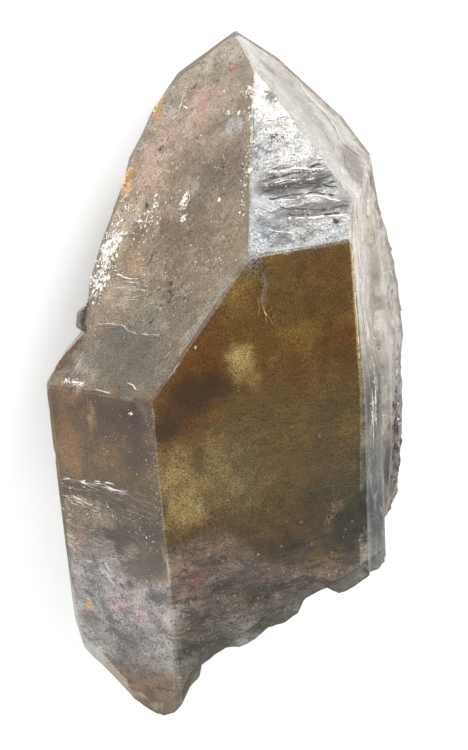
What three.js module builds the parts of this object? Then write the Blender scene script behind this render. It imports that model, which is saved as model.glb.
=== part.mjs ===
// A smoky quartz crystal, broken off at its base, lying on one of its prism faces.
// Millimetres. The c axis of the crystal runs along +Y towards the tip, +X points right across the
// broad front face, and +Z is that face's outward normal, so the crystal lies with the front face up.
// Inside this file a place on the crystal is (x, c, z): c is the height along the c axis above the
// corner where the front face, the left face and the left tip face meet, which is (0, 0, 0).

import * as THREE from 'three';
import { mergeVertices } from 'three/addons/utils/BufferGeometryUtils.js';

// Driving dimensions
const THICKNESS = 52.0;
const TIP = { x: 31.6, c: 54.6, z: -31.1 };
const TIP_CHIP = 0.15;

// Quartz angles: the prism faces stand 60 degrees apart, and the tip faces slope 51.8 degrees
// from the horizontal, so each draws in by LEAN for every millimetre of height.
const STEP = THREE.MathUtils.degToRad(60);
const LEAN = 1 / Math.tan(THREE.MathUtils.degToRad(51.8));

// The faces, by the direction they look in, seen from the tip
const LEFT = -STEP;
const FRONT = 0;
const RIGHT = STEP;
const BACK_RIGHT = 2 * STEP;
const BACK = 3 * STEP;
const BACK_LEFT = 4 * STEP;

// The three small tip faces stand this far outside the tip, so each is a triangle below it
const SMALL_FACE_OFFSET = { front: 4.3, backRight: 5.5, backLeft: 5.4 };

// The front tip face swells outwards from its smooth top down to the front face
const FRONT_SWELL = { top: 44, length: 20, height: 0.9 };

// Growth steps of the front tip face: [height, tread]
const FRONT_LEDGES = [
  [23.2, 0.3], [25.4, 0.45], [27.9, 0.7], [30.3, 0.5], [33.4, 0.8], [36.4, 0.35], [40.2, 0.3],
];

// How far out the right side stands at each height: [height, reach]. It draws in towards the base.
const RIGHT_PROFILE = [[-60, 30.6], [-38, 31.5], [-29, 31.9], [-5, 33.17], [60, 33.17]];

// The back left side: prism and tip steps that taper upwards, with a notch above the left face
const BACK_LEFT_PROFILE = [
  [-60, 15], [-47.7, 18.6], [-42, 20.1], [-20, 20.6], [-3, 20.9], [0.6, 20.9], [4.4, 18.4],
  [7.6, 15.1], [8.4, 14.1], [9.1, 15.9], [11.1, 15.9], [12.3, 14.0], [16, 13.8], [21.4, 12.2],
  [26, 10.3], [30.7, 8.6], [34.4, 7.7], [38, 5.5], [42, 3.4], [45.5, 0.8], [60, -10.6],
];

// The back right side, swollen by a second crystal grown on along it
const BACK_RIGHT_PROFILE = [
  [-60, 38], [-38.1, 44.6], [-34.2, 48.6], [-33.4, 49.8], [-32.9, 58.2], [-30, 60.2], [-26.6, 60.6],
  [-23.7, 62.8], [-19.5, 63.1], [-13.4, 63.6], [-9, 61.4], [-6.9, 64.1], [-4.8, 66.1], [4.2, 66.4],
  [8.5, 65.4], [12.7, 62.6], [15.4, 62.0], [19.1, 58.4], [25, 56.2], [27.4, 56.0], [29.2, 62.6],
  [34, 63.6], [60, 63.6],
];

// The second crystal's own right face stands this far proud of the main one
const OVERGROWTH_RISE = [
  [-60, 0], [-33.4, 0], [-32.7, 1.1], [-28, 1.6], [-21, 2.0], [-5, 2.2], [4, 1.8], [13, 1.4],
  [20, 1.0], [27.5, 0.6], [31, 0.2], [34, 0], [60, 0],
];

// Width of the smooth strip of the right face, from the front face's edge to the overgrowth
const STRIP_PROFILE = [
  [-60, 15], [-34, 15.5], [-24, 15.5], [-16, 17], [-8, 15.5], [1.5, 14.2], [4.1, 19.2],
  [8.8, 20], [17, 18.3], [24, 18.5], [30.8, 24], [60, 24],
];

// The most of the right face that the strip may take, and the most that the rise may take of the rest
const STRIP_SHARE = 0.86;
const RISE_SHARE = 0.3;

// The rim of the broken base, side by side: [part of the side's width, height]
const RIM = {
  left: [
    [0, -47.2], [0.08, -49], [0.28, -52.3], [0.44, -55.2], [0.6, -56.7], [0.76, -57.0],
    [0.9, -56.0], [1, -54.2],
  ],
  front: [
    [0, -54.2], [0.05, -51.4], [0.105, -49.9], [0.118, -48], [0.17, -46.9], [0.25, -45.7],
    [0.32, -46.2], [0.41, -45], [0.47, -43.6], [0.55, -43.4], [0.625, -42.2], [0.66, -39.9],
    [0.78, -38.6], [0.84, -40.2], [0.92, -39.6], [1, -38],
  ],
  strip: [[0, -38], [0.5, -38.6], [1, -38.2]],
  riser: [[0, -38.2], [1, -38.2]],
  overgrowth: [[0, -38.2], [1, -37.8]],
  backRight: [
    [0, -37.8], [0.12, -35.2], [0.3, -34.4], [0.45, -34.7], [0.6, -33], [0.8, -30.6], [1, -30.2],
  ],
  back: [[0, -30.2], [0.3, -29], [0.6, -30.6], [1, -28.6]],
  backLeft: [
    [0, -28.6], [0.2, -30], [0.45, -29.6], [0.62, -33], [0.8, -37.5], [0.92, -44], [1, -47.2],
  ],
};

// The break inside the rim: a steep slope in front that levels out behind, with lumps and ripples
const BREAK = { start: -50.5, alongX: 0.3, alongZ: -0.66, behind: -31, blend: 4 };
const BREAK_MIDDLE = { x: 19, z: -26 };
const BREAK_LUMPS = [
  { x: -5, z: -9, reach: 9.6, rise: -8 },
  { x: 9, z: -17, reach: 6.5, rise: -2.4 },
  { x: 22, z: -12, reach: 7, rise: 1.8 },
  { x: 33, z: -24, reach: 6, rise: -2.2 },
  { x: 15, z: -37, reach: 6.5, rise: 2.0 },
];
const RIPPLE = { x: 30, z: -12, length: 8.5, height: 0.7 };

// Dents and chips: the side, the place along it, the height, the radius, and how deep
const DENTS = [
  { side: 'left', q: -11.5, c: 9, r: 3.4, depth: 0.5 },
  { side: 'left', q: -17, c: 14, r: 3.0, depth: 0.6 },
  { side: 'left', q: -13.5, c: 22, r: 3.6, depth: 0.55 },
  { side: 'left', q: -20, c: 26.5, r: 2.8, depth: 0.6 },
  { side: 'left', q: -12.2, c: 33, r: 3.2, depth: 0.5 },
  { side: 'left', q: -16.5, c: 39, r: 3.0, depth: 0.5 },
  { side: 'left', q: -4.5, c: 5.5, r: 3.8, depth: 0.35 },
  { side: 'left', q: -9, c: -25, r: 4.6, depth: 0.35 },
  { side: 'left', q: -3.4, c: -2.4, r: 2.2, depth: 0.5 },
  { side: 'front', q: 22.5, c: 38.6, r: 2.6, depth: 1.1 },
  { side: 'front', q: 27, c: -34, r: 4.4, depth: 0.5 },
  { side: 'front', q: 9, c: -37, r: 4.8, depth: 0.45 },
  { side: 'strip', q: 24.5, c: -27, r: 3.4, depth: 0.7 },
];

// Mesh fineness: columns on each side, the rows above the rim, the rows down to it, and the rings
// across the break, each by its part of the way out to the rim
const COLUMNS = {
  left: 10, front: 19, strip: 3, riser: 1, overgrowth: 4, backRight: 6, back: 5, backLeft: 7,
};
const ROW_PITCH = 2.3;
const ROW_GAP = 0.22;
const LEDGE_GAP = 0.25;
const RIM_TOP = -26;
const RIM_ROWS = 12;
const BREAK_RINGS = [0.92, 0.8, 0.65, 0.48, 0.3, 0.14];
const WELD = 2e-3;

// Straight lines between the points of a profile
function along(profile, at) {
  let k = 1;
  while (k < profile.length - 1 && profile[k][0] < at) k += 1;
  const [at0, value0] = profile[k - 1];
  const [at1, value1] = profile[k];
  const t = THREE.MathUtils.clamp((at - at0) / (at1 - at0), 0, 1);
  return value0 + (value1 - value0) * t;
}

// How far out a side stands that looks in the direction of angle and passes through (x, z)
function reach(angle, x, z) {
  return Math.sin(angle) * x + Math.cos(angle) * z;
}

// The point (x, z) where two sides cross, each given by its direction and reach
function crossing(angle1, reach1, angle2, reach2) {
  const turn = Math.sin(angle1 - angle2);
  return {
    x: (reach1 * Math.cos(angle2) - reach2 * Math.cos(angle1)) / turn,
    z: (reach2 * Math.sin(angle1) - reach1 * Math.sin(angle2)) / turn,
  };
}

// Treads of the front tip face: each stands out just below its ledge and fades to the next one
function ledgeTread(c) {
  for (let k = 0; k < FRONT_LEDGES.length; k += 1) {
    const [top, tread] = FRONT_LEDGES[k];
    const bottom = k > 0 ? FRONT_LEDGES[k - 1][0] : top - 2;
    if (c <= top && c > bottom) return tread * (c - bottom) / (top - bottom);
  }
  return 0;
}

// How far out each of the six sides stands at height c
function sideReaches(c) {
  const tipReach = (angle) => reach(angle, TIP.x, TIP.z) + (TIP.c - c) * LEAN;
  const down = THREE.MathUtils.clamp((FRONT_SWELL.top - c) / FRONT_SWELL.length, 0, 1);
  const frontTip = tipReach(FRONT) + SMALL_FACE_OFFSET.front + FRONT_SWELL.height * down;
  const backRightTip = tipReach(BACK_RIGHT) + SMALL_FACE_OFFSET.backRight;
  const backLeftTip = tipReach(BACK_LEFT) + SMALL_FACE_OFFSET.backLeft;
  const left = Math.min(0, tipReach(LEFT));
  const right = Math.min(along(RIGHT_PROFILE, c), tipReach(RIGHT));
  const back = Math.min(THICKNESS, tipReach(BACK));
  // The last term of each is where its two neighbours already meet, and it has no width left
  const front = Math.min(0, frontTip + ledgeTread(c), left + right);
  const backRight = Math.min(along(BACK_RIGHT_PROFILE, c), backRightTip, right + back);
  const backLeft = Math.min(along(BACK_LEFT_PROFILE, c), backLeftTip, back + left);
  return { left, front, right, backRight, back, backLeft };
}

// The outline at height c: its corners in order round the crystal, each with the side it starts
function outline(c) {
  const d = sideReaches(c);
  const frontRight = crossing(FRONT, d.front, RIGHT, d.right);
  const mainRight = crossing(RIGHT, d.right, BACK_RIGHT, d.backRight);
  const faceLength = Math.hypot(mainRight.x - frontRight.x, mainRight.z - frontRight.z);
  const strip = Math.min(along(STRIP_PROFILE, c), faceLength * STRIP_SHARE);
  const rise = Math.min(along(OVERGROWTH_RISE, c), (faceLength - strip) * RISE_SHARE);
  const foot = {
    x: frontRight.x + strip * Math.cos(RIGHT),
    z: frontRight.z - strip * Math.sin(RIGHT),
  };
  const outerRight = crossing(RIGHT, d.right + rise, BACK_RIGHT, d.backRight);
  return [
    { side: 'left', angle: LEFT, ...crossing(BACK_LEFT, d.backLeft, LEFT, d.left) },
    { side: 'front', angle: FRONT, ...crossing(LEFT, d.left, FRONT, d.front) },
    { side: 'strip', angle: RIGHT, ...frontRight },
    { side: 'riser', angle: FRONT, ...foot },
    { side: 'overgrowth', angle: RIGHT, x: foot.x + rise / Math.sin(RIGHT), z: foot.z },
    { side: 'backRight', angle: BACK_RIGHT, ...outerRight },
    { side: 'back', angle: BACK, ...crossing(BACK_RIGHT, d.backRight, BACK, d.back) },
    { side: 'backLeft', angle: BACK_LEFT, ...crossing(BACK, d.back, BACK_LEFT, d.backLeft) },
  ];
}

// Relief of a side at q along it: dents, and lumps on the overgrowth and the back. The resting
// face stays flat, and every relief fades out at the side's edges.
function relief(side, q, c, fromEdge) {
  if (side === 'back') return 0;
  let out = 0;
  for (const dent of DENTS) {
    if (dent.side !== side) continue;
    const far = Math.hypot(q - dent.q, c - dent.c) / dent.r;
    if (far < 1) out -= dent.depth * (1 - far * far);
  }
  if (side === 'overgrowth') {
    out += 0.5 * Math.sin(0.9 * c + 0.8 * q) * Math.sin(0.55 * c - 1.1 * q);
  } else if (side === 'backRight') {
    out += 0.55 * Math.sin(0.62 * c - 0.3 * q) * Math.sin(0.4 * q + 0.2 * c);
  } else if (side === 'backLeft') {
    out += 0.35 * Math.sin(0.7 * c + 0.35 * q);
  }
  return out * Math.min(1, fromEdge / 2);
}

// The place on a side at a part of its width and at height c
function sidePoint(sideIndex, part, c) {
  const corners = outline(c);
  const start = corners[sideIndex];
  const end = corners[(sideIndex + 1) % corners.length];
  const width = Math.hypot(end.x - start.x, end.z - start.z);
  const x = start.x + (end.x - start.x) * part;
  const z = start.z + (end.z - start.z) * part;
  const q = Math.cos(start.angle) * x - Math.sin(start.angle) * z;
  const out = relief(start.side, q, c, Math.min(part, 1 - part) * width);
  return new THREE.Vector3(x + out * Math.sin(start.angle), c, z + out * Math.cos(start.angle));
}

// Height of the break at (x, z)
function breakHeight(x, z) {
  const steep = BREAK.start + BREAK.alongX * x + BREAK.alongZ * z;
  const mix = Math.max(BREAK.blend - Math.abs(steep - BREAK.behind), 0) / BREAK.blend;
  let height = Math.min(steep, BREAK.behind) - mix * mix * BREAK.blend / 4;
  for (const lump of BREAK_LUMPS) {
    const far = ((x - lump.x) ** 2 + (z - lump.z) ** 2) / lump.reach ** 2;
    height += lump.rise * Math.exp(-far);
  }
  const turns = Math.hypot(x - RIPPLE.x, z - RIPPLE.z) / RIPPLE.length;
  return height + RIPPLE.height * Math.sin(2 * Math.PI * turns);
}

// A place on the break, from its middle (part 0) out to a point of the rim (part 1)
function breakPoint(rimPoint, part) {
  const x = BREAK_MIDDLE.x + (rimPoint.x - BREAK_MIDDLE.x) * part;
  const z = BREAK_MIDDLE.z + (rimPoint.z - BREAK_MIDDLE.z) * part;
  const miss = rimPoint.y - breakHeight(rimPoint.x, rimPoint.z);
  return new THREE.Vector3(x, breakHeight(x, z) + miss * part ** 4, z);
}

// Heights of the rows above the rim: every growth level, with even steps between them
function rowHeights() {
  const top = TIP.c - TIP_CHIP;
  const apex = (offset) => TIP.c - offset / LEAN;
  const fold = (angle, sideReach, offset) =>
    TIP.c - (sideReach - reach(angle, TIP.x, TIP.z) - offset) / LEAN;
  const marks = [
    top,
    ...Object.values(SMALL_FACE_OFFSET).map(apex),
    fold(FRONT, 0, SMALL_FACE_OFFSET.front + FRONT_SWELL.height),
    fold(RIGHT, along(RIGHT_PROFILE, 0), 0),
    fold(BACK, THICKNESS, 0),
    0,
    RIM_TOP,
    ...BACK_LEFT_PROFILE.map(([c]) => c),
    ...BACK_RIGHT_PROFILE.map(([c]) => c),
    ...FRONT_LEDGES.flatMap(([c]) => [c, c + LEDGE_GAP]),
  ];
  const kept = marks.filter((c) => c <= top && c >= RIM_TOP).sort((a, b) => b - a);
  const rows = [top];
  for (const c of kept) {
    const last = rows[rows.length - 1];
    if (last - c < ROW_GAP) continue;
    const count = Math.ceil((last - c) / ROW_PITCH);
    for (let k = 1; k <= count; k += 1) rows.push(last + (c - last) * k / count);
  }
  return rows;
}

// Sides that have run out of width leave triangles with a doubled corner: these are dropped
function withoutSlivers(geometry) {
  const index = geometry.getIndex().array;
  const kept = [];
  for (let k = 0; k < index.length; k += 3) {
    const [a, b, c] = [index[k], index[k + 1], index[k + 2]];
    if (a !== b && b !== c && c !== a) kept.push(a, b, c);
  }
  geometry.setIndex(kept);
  return geometry;
}

// The closed skin: rings of the sides from the tip down to the rim, then rings across the break
function crystalGeometry() {
  const names = outline(0).map((corner) => corner.side);
  const columns = names.flatMap((name, index) =>
    Array.from({ length: COLUMNS[name] }, (_, k) => ({ index, part: k / COLUMNS[name] })));
  const rings = rowHeights().map((c) => columns.map((at) => sidePoint(at.index, at.part, c)));
  for (let row = 1; row <= RIM_ROWS; row += 1) {
    rings.push(columns.map((at) => {
      const drop = along(RIM[names[at.index]], at.part) - RIM_TOP;
      return sidePoint(at.index, at.part, RIM_TOP + drop * row / RIM_ROWS);
    }));
  }
  const rim = rings[rings.length - 1];
  for (const part of BREAK_RINGS) rings.push(rim.map((p) => breakPoint(p, part)));

  const count = columns.length;
  const points = rings.flat();
  const lastRing = points.length - count;
  const tip = points.push(new THREE.Vector3(TIP.x, TIP.c - TIP_CHIP, TIP.z)) - 1;
  const middle = points.push(breakPoint(rim[0], 0)) - 1;
  const faces = [];
  for (let k = 0; k < count; k += 1) {
    const next = (k + 1) % count;
    faces.push(tip, k, next);
    for (let start = 0; start < lastRing; start += count) {
      const [a, b] = [start + k, start + next];
      faces.push(a, a + count, b, b, a + count, b + count);
    }
    faces.push(middle, lastRing + next, lastRing + k);
  }

  const geometry = new THREE.BufferGeometry().setFromPoints(points);
  geometry.setIndex(faces);
  return withoutSlivers(mergeVertices(geometry, WELD));
}

const quartz = new THREE.MeshStandardMaterial({
  color: 0x8a7758, roughness: 0.3, metalness: 0, transparent: true, opacity: 0.85,
});

const geometry = crystalGeometry();
geometry.computeBoundingBox();
const box = geometry.boundingBox;
const crystal = new THREE.Mesh(geometry, quartz);
crystal.name = 'quartz_crystal';
crystal.position.set(-(box.min.x + box.max.x) / 2, -(box.min.y + box.max.y) / 2, -box.min.z);

const group = new THREE.Group();
group.add(crystal);

export default group;
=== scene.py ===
"""A smoky quartz crystal, broken off at its base, lying on one prism face.

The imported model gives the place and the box. Everything shown is worked out here: the quartz skin
with its faces, growth steps, frosting, chips and break; the mineral dust that clouds its inside; the
dark specks and the fine cracks. Lengths are millimetres until a mesh is made, and a place on the
crystal is (x, c, z): x to the right across the front face, c the height along the crystal's axis
above the corner where the front, left and left tip faces meet, z outwards from the front face.
"""

import logging
import math
from dataclasses import dataclass, field
from enum import IntEnum
from typing import Dict, List, Optional, Sequence, Tuple, Union

import bpy
import numpy as np
from mathutils import Matrix, Vector


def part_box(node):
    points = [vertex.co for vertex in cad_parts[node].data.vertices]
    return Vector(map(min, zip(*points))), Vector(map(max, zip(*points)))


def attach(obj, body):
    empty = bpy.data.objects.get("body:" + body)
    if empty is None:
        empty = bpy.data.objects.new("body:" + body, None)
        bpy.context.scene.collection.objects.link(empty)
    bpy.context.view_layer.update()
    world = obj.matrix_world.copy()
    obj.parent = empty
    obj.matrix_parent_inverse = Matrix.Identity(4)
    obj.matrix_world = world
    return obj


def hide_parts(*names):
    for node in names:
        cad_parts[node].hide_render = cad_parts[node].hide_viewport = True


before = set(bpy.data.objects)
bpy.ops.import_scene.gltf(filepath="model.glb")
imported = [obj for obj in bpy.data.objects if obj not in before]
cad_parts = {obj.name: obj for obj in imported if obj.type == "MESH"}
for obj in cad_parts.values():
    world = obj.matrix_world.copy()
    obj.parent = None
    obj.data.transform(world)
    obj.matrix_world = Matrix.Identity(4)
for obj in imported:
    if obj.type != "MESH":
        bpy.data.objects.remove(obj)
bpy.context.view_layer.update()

LOG = logging.getLogger("quartz_crystal")
Array = np.ndarray
Point = Tuple[float, float, float]
Shown = Tuple[int, int, int]
Rows = Tuple[Tuple["Side", Tuple[tuple, ...]], ...]
Sockets = bpy.types.bpy_prop_collection
Profile = Tuple[Tuple[float, float], ...]

NODE = "quartz_crystal"
MILLIMETRE = 1e-3


class Side(IntEnum):
    """The sides round the crystal, in order as seen from the tip, turning left to right in front."""

    LEFT = 0
    FRONT = 1
    STRIP = 2
    RISER = 3
    OVERGROWTH = 4
    BACK_RIGHT = 5
    BACK = 6
    BACK_LEFT = 7


class Zone(IntEnum):
    """Where a point of the skin lies: on the prism, on the tip, or on the break."""

    PRISM = 0
    TIP = 1
    BREAK = 2


TURN = math.radians(60)
ANGLE: Dict[Side, float] = {
    Side.LEFT: -TURN,
    Side.FRONT: 0.0,
    Side.STRIP: TURN,
    Side.RISER: 0.0,
    Side.OVERGROWTH: TURN,
    Side.BACK_RIGHT: 2 * TURN,
    Side.BACK: 3 * TURN,
    Side.BACK_LEFT: 4 * TURN,
}


def daylight(shown: Shown) -> Array:
    """Turns a colour as it shows on a screen, 0 to 255, into the linear colour that light adds up in.

    Args:
        shown: Red, green and blue as shown.

    Returns:
        The linear colour, 0 to 1.
    """
    part = np.array(shown) / 255
    return np.where(part <= 0.04045, part / 12.92, ((part + 0.055) / 1.055) ** 2.4)


def smooth(low: float, high: float, value: Array) -> Array:
    """Rises from 0 at low to 1 at high along 3t^2 - 2t^3; low may be the greater of the two.

    Args:
        low: Where the result is 0.
        high: Where the result is 1.
        value: The values to measure.

    Returns:
        The share for each value.
    """
    t = np.clip((value - low) / (high - low), 0, 1)
    return t * t * (3 - 2 * t)


def along(profile: Profile, at: Array) -> Array:
    """Straight lines between the points of a profile.

    Args:
        profile: Pairs of place and value, places rising.
        at: The places asked for.

    Returns:
        The value at each place.
    """
    places, values = zip(*profile)
    return np.interp(at, places, values)


def dice(ix: Array, iy: Array, iz: Array, seed: int) -> Array:
    """An even random number from 0 to 1 for each whole-number place, the same on every run.

    The place is multiplied by large odd numbers, folded with the seed, and its bits are mixed.

    Args:
        ix: First whole number of the place.
        iy: Second.
        iz: Third.
        seed: Which set of numbers.

    Returns:
        One number for each place.
    """
    mixed = (ix.astype(np.int64) * 73856093) ^ (iy.astype(np.int64) * 19349663)
    mixed = (mixed ^ (iz.astype(np.int64) * 83492791) ^ (seed * 9176623)) & 0x7FFFFFFF
    mixed = ((mixed ^ (mixed >> 13)) * 1274126177) & 0x7FFFFFFF
    mixed = ((mixed ^ (mixed >> 16)) * 1103515245) & 0x7FFFFFFF
    return (mixed >> 7) / float(0x7FFFFFFF >> 7)


def grain(x: Array, y: Array, z: Array, size: float, seed: int, layers: int = 3) -> Array:
    """Smooth random relief from -1 to 1: lattice values eased between corners, in halving layers.

    Args:
        x: First coordinate.
        y: Second coordinate.
        z: Third coordinate.
        size: Width of the largest lumps, in the coordinates' unit.
        seed: Which pattern.
        layers: How many layers, each half as wide and half as strong as the last.

    Returns:
        The relief at each point.
    """
    total, weight = 0.0, 0.0
    for layer in range(layers):
        step = size / 2**layer
        place = [np.asarray(v, float) / step + 17.3 * layer for v in (x, y, z)]
        cell = [np.floor(v) for v in place]
        ease = [(p - f) ** 2 * (3 - 2 * (p - f)) for p, f in zip(place, cell)]
        value = 0.0
        for dx in (0, 1):
            for dy in (0, 1):
                for dz in (0, 1):
                    share = (ease[0] if dx else 1 - ease[0]) * (ease[1] if dy else 1 - ease[1])
                    share = share * (ease[2] if dz else 1 - ease[2])
                    value = value + share * dice(cell[0] + dx, cell[1] + dy, cell[2] + dz, seed + layer)
        total = total + (2 * value - 1) / 2**layer
        weight += 1 / 2**layer
    return total / weight * 1.4


def nearest_cell(u: Array, v: Array, size: float, seed: int) -> Tuple[Array, Array]:
    """Distance to the nearest of the points scattered one to a square, and that point's own number.

    Args:
        u: First coordinate.
        v: Second coordinate.
        size: Width of the squares.
        seed: Which scatter.

    Returns:
        The distance in squares, and a random number from 0 to 1 that goes with the nearest point.
    """
    u, v = u / size, v / size
    cu, cv = np.floor(u), np.floor(v)
    best = np.full(np.shape(u), 9.0)
    mark = np.zeros(np.shape(u))
    for du in (-1, 0, 1):
        for dv in (-1, 0, 1):
            iu, iv = cu + du, cv + dv
            far = np.hypot(iu + dice(iu, iv, iv * 0, seed) - u, iv + dice(iu, iv, iv * 0, seed + 1) - v)
            nearer = far < best
            best = np.where(nearer, far, best)
            mark = np.where(nearer, dice(iu, iv, iv * 0, seed + 2), mark)
    return best, mark


@dataclass(frozen=True)
class Inset:
    """How far a body stays inside the crystal's form, side by side, as profiles over the height."""

    left: Profile = ((0, 0),)
    front: Profile = ((0, 0),)
    right: Profile = ((0, 0),)
    back_right: Profile = ((0, 0),)
    back: Profile = ((0, 0),)
    back_left: Profile = ((0, 0),)


@dataclass(frozen=True)
class CrystalForm:
    """The crystal's faces: at each height a ring of sides with fixed directions and given reaches.

    Quartz sets the directions 60 degrees apart and the slope of the tip faces, 51.8 degrees, so a
    tip face draws in by `lean` for every millimetre of height.
    """

    thickness: float = 52.0
    tip: Tuple[float, float, float] = (31.6, 54.6, -31.1)
    tip_chip: float = 0.15
    lean: float = 1 / math.tan(math.radians(51.8))
    front_offset: float = 4.3
    back_right_offset: float = 5.5
    back_left_offset: float = 5.4
    swell: Tuple[float, float, float] = (44, 20, 0.9)
    right_profile: Profile = ((-60, 30.6), (-38, 31.5), (-29, 31.9), (-5, 33.17), (60, 33.17))
    back_left_profile: Profile = (
        (-60, 15), (-47.7, 18.6), (-42, 20.1), (-20, 20.6), (-3, 20.9), (0.6, 20.9), (4.4, 18.4),
        (7.6, 15.1), (8.4, 14.1), (9.1, 15.9), (11.1, 15.9), (12.3, 14.0), (16, 13.8), (21.4, 12.2),
        (26, 10.3), (30.7, 8.6), (34.4, 7.7), (38, 5.5), (42, 3.4), (45.5, 0.8), (60, -10.6),
    )
    back_right_profile: Profile = (
        (-60, 38), (-38.1, 44.6), (-34.2, 48.6), (-33.4, 49.8), (-32.9, 58.2), (-30, 60.2),
        (-26.6, 60.6), (-23.7, 62.8), (-19.5, 63.1), (-13.4, 63.6), (-9, 61.4), (-6.9, 64.1),
        (-4.8, 66.1), (4.2, 66.4), (8.5, 65.4), (12.7, 62.6), (15.4, 62.0), (19.1, 58.4),
        (25, 56.2), (27.4, 56.0), (29.2, 62.6), (34, 63.6), (60, 63.6),
    )
    overgrowth_rise: Profile = (
        (-60, 0), (-33.4, 0), (-32.7, 1.1), (-28, 1.6), (-21, 2.0), (-5, 2.2), (4, 1.8), (13, 1.4),
        (20, 1.0), (27.5, 0.6), (31, 0.2), (34, 0), (60, 0),
    )
    strip_profile: Profile = (
        (-60, 15), (-34, 15.5), (-24, 15.5), (-16, 17), (-8, 15.5), (1.5, 14.2), (4.1, 19.2),
        (8.8, 20), (17, 18.3), (24, 18.5), (30.8, 24), (60, 24),
    )
    strip_share: float = 0.86
    rise_share: float = 0.3
    rim_top: float = -26.0
    break_slope: Tuple[float, float, float] = (-50.5, 0.3, -0.66)
    break_behind: float = -31.0
    break_blend: float = 4.0
    break_middle: Tuple[float, float] = (19, -26)
    break_lumps: Tuple[Tuple[float, float, float, float], ...] = (
        (-5, -9, 9.6, -8), (9, -17, 6.5, -2.4), (22, -12, 7, 1.8), (33, -24, 6, -2.2),
        (15, -37, 6.5, 2.0),
    )
    ripple: Tuple[float, float, float, float] = (30, -12, 8.5, 0.7)

    def tip_reach(self, angle: float, c: Array) -> Array:
        """How far out a tip face that looks in the direction of angle stands at height c."""
        x, top, z = self.tip
        return math.sin(angle) * x + math.cos(angle) * z + (top - c) * self.lean

    def fold(self, side: Side) -> float:
        """Height at which a side's prism face ends and its tip face starts."""
        reach = {Side.LEFT: 0.0, Side.FRONT: 0.0, Side.STRIP: 33.17, Side.OVERGROWTH: 33.17,
                 Side.BACK: self.thickness, Side.BACK_RIGHT: 63.6, Side.BACK_LEFT: 15.9,
                 Side.RISER: 0.0}[side]
        offset = {Side.FRONT: self.front_offset + self.swell[2],
                  Side.BACK_RIGHT: self.back_right_offset,
                  Side.BACK_LEFT: self.back_left_offset}.get(side, 0.0)
        angle = ANGLE[side]
        x, top, z = self.tip
        return top - (reach - math.sin(angle) * x - math.cos(angle) * z - offset) / self.lean

    def corners(self, c: Array, inset: Inset) -> List[Tuple[Array, Array]]:
        """The outline's corners, where neighbouring sides cross, in the order of Side.

        Args:
            c: Heights, of any shape.
            inset: How far inside the form the outline stays.

        Returns:
            For each side the (x, z) of the corner that it starts at.
        """
        down = np.clip((self.swell[0] - c) / self.swell[1], 0, 1)
        front_tip = self.tip_reach(0, c) + self.front_offset + self.swell[2] * down
        left = np.minimum(0, self.tip_reach(-TURN, c)) - along(inset.left, c)
        right = np.minimum(along(self.right_profile, c), self.tip_reach(TURN, c))
        right = right - along(inset.right, c)
        back = np.minimum(self.thickness, self.tip_reach(3 * TURN, c)) - along(inset.back, c)
        front = np.minimum(np.minimum(0, front_tip) - along(inset.front, c), left + right)
        back_right = np.minimum(along(self.back_right_profile, c),
                                self.tip_reach(2 * TURN, c) + self.back_right_offset)
        back_right = np.minimum(back_right - along(inset.back_right, c), right + back)
        back_left = np.minimum(along(self.back_left_profile, c),
                               self.tip_reach(4 * TURN, c) + self.back_left_offset)
        back_left = np.minimum(back_left - along(inset.back_left, c), back + left)

        front_right = self.crossing(0, front, TURN, right)
        main_right = self.crossing(TURN, right, 2 * TURN, back_right)
        face = np.hypot(main_right[0] - front_right[0], main_right[1] - front_right[1])
        strip = np.minimum(along(self.strip_profile, c), face * self.strip_share)
        rise = np.minimum(along(self.overgrowth_rise, c), (face - strip) * self.rise_share)
        foot = (front_right[0] + strip * math.cos(TURN), front_right[1] - strip * math.sin(TURN))
        return [
            self.crossing(4 * TURN, back_left, -TURN, left),
            self.crossing(-TURN, left, 0, front),
            front_right,
            foot,
            (foot[0] + rise / math.sin(TURN), foot[1]),
            self.crossing(TURN, right + rise, 2 * TURN, back_right),
            self.crossing(2 * TURN, back_right, 3 * TURN, back),
            self.crossing(3 * TURN, back, 4 * TURN, back_left),
        ]

    def on_side(self, side: Side, q: Array, c: Array) -> "Places":
        """Points on one side's flat face.

        Args:
            side: The side.
            q: Places across the side.
            c: Heights.

        Returns:
            The points, with x and z between the side's two corners in the share that q stands at.
        """
        corners = self.corners(c, Inset())
        (x0, z0), (x1, z1) = corners[side], corners[(side + 1) % len(corners)]
        cos, sin = math.cos(ANGLE[side]), math.sin(ANGLE[side])
        q0, q1 = cos * x0 - sin * z0, cos * x1 - sin * z1
        part = (q - q0) / np.maximum(q1 - q0, 1e-6)
        return Places(
            x=x0 + (x1 - x0) * part, c=c, z=z0 + (z1 - z0) * part, side=np.full(q.shape, int(side)),
            zone=np.where(c > self.fold(side), Zone.TIP, Zone.PRISM), q=q,
            from_edge=np.maximum(np.minimum(q - q0, q1 - q), 0))

    @staticmethod
    def crossing(angle1: float, reach1: Array, angle2: float, reach2: Array) -> Tuple[Array, Array]:
        """The point (x, z) where two sides cross, each given by its direction and its reach."""
        turn = math.sin(angle1 - angle2)
        x = (reach1 * math.cos(angle2) - reach2 * math.cos(angle1)) / turn
        z = (reach2 * math.sin(angle1) - reach1 * math.sin(angle2)) / turn
        return x, z

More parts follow.
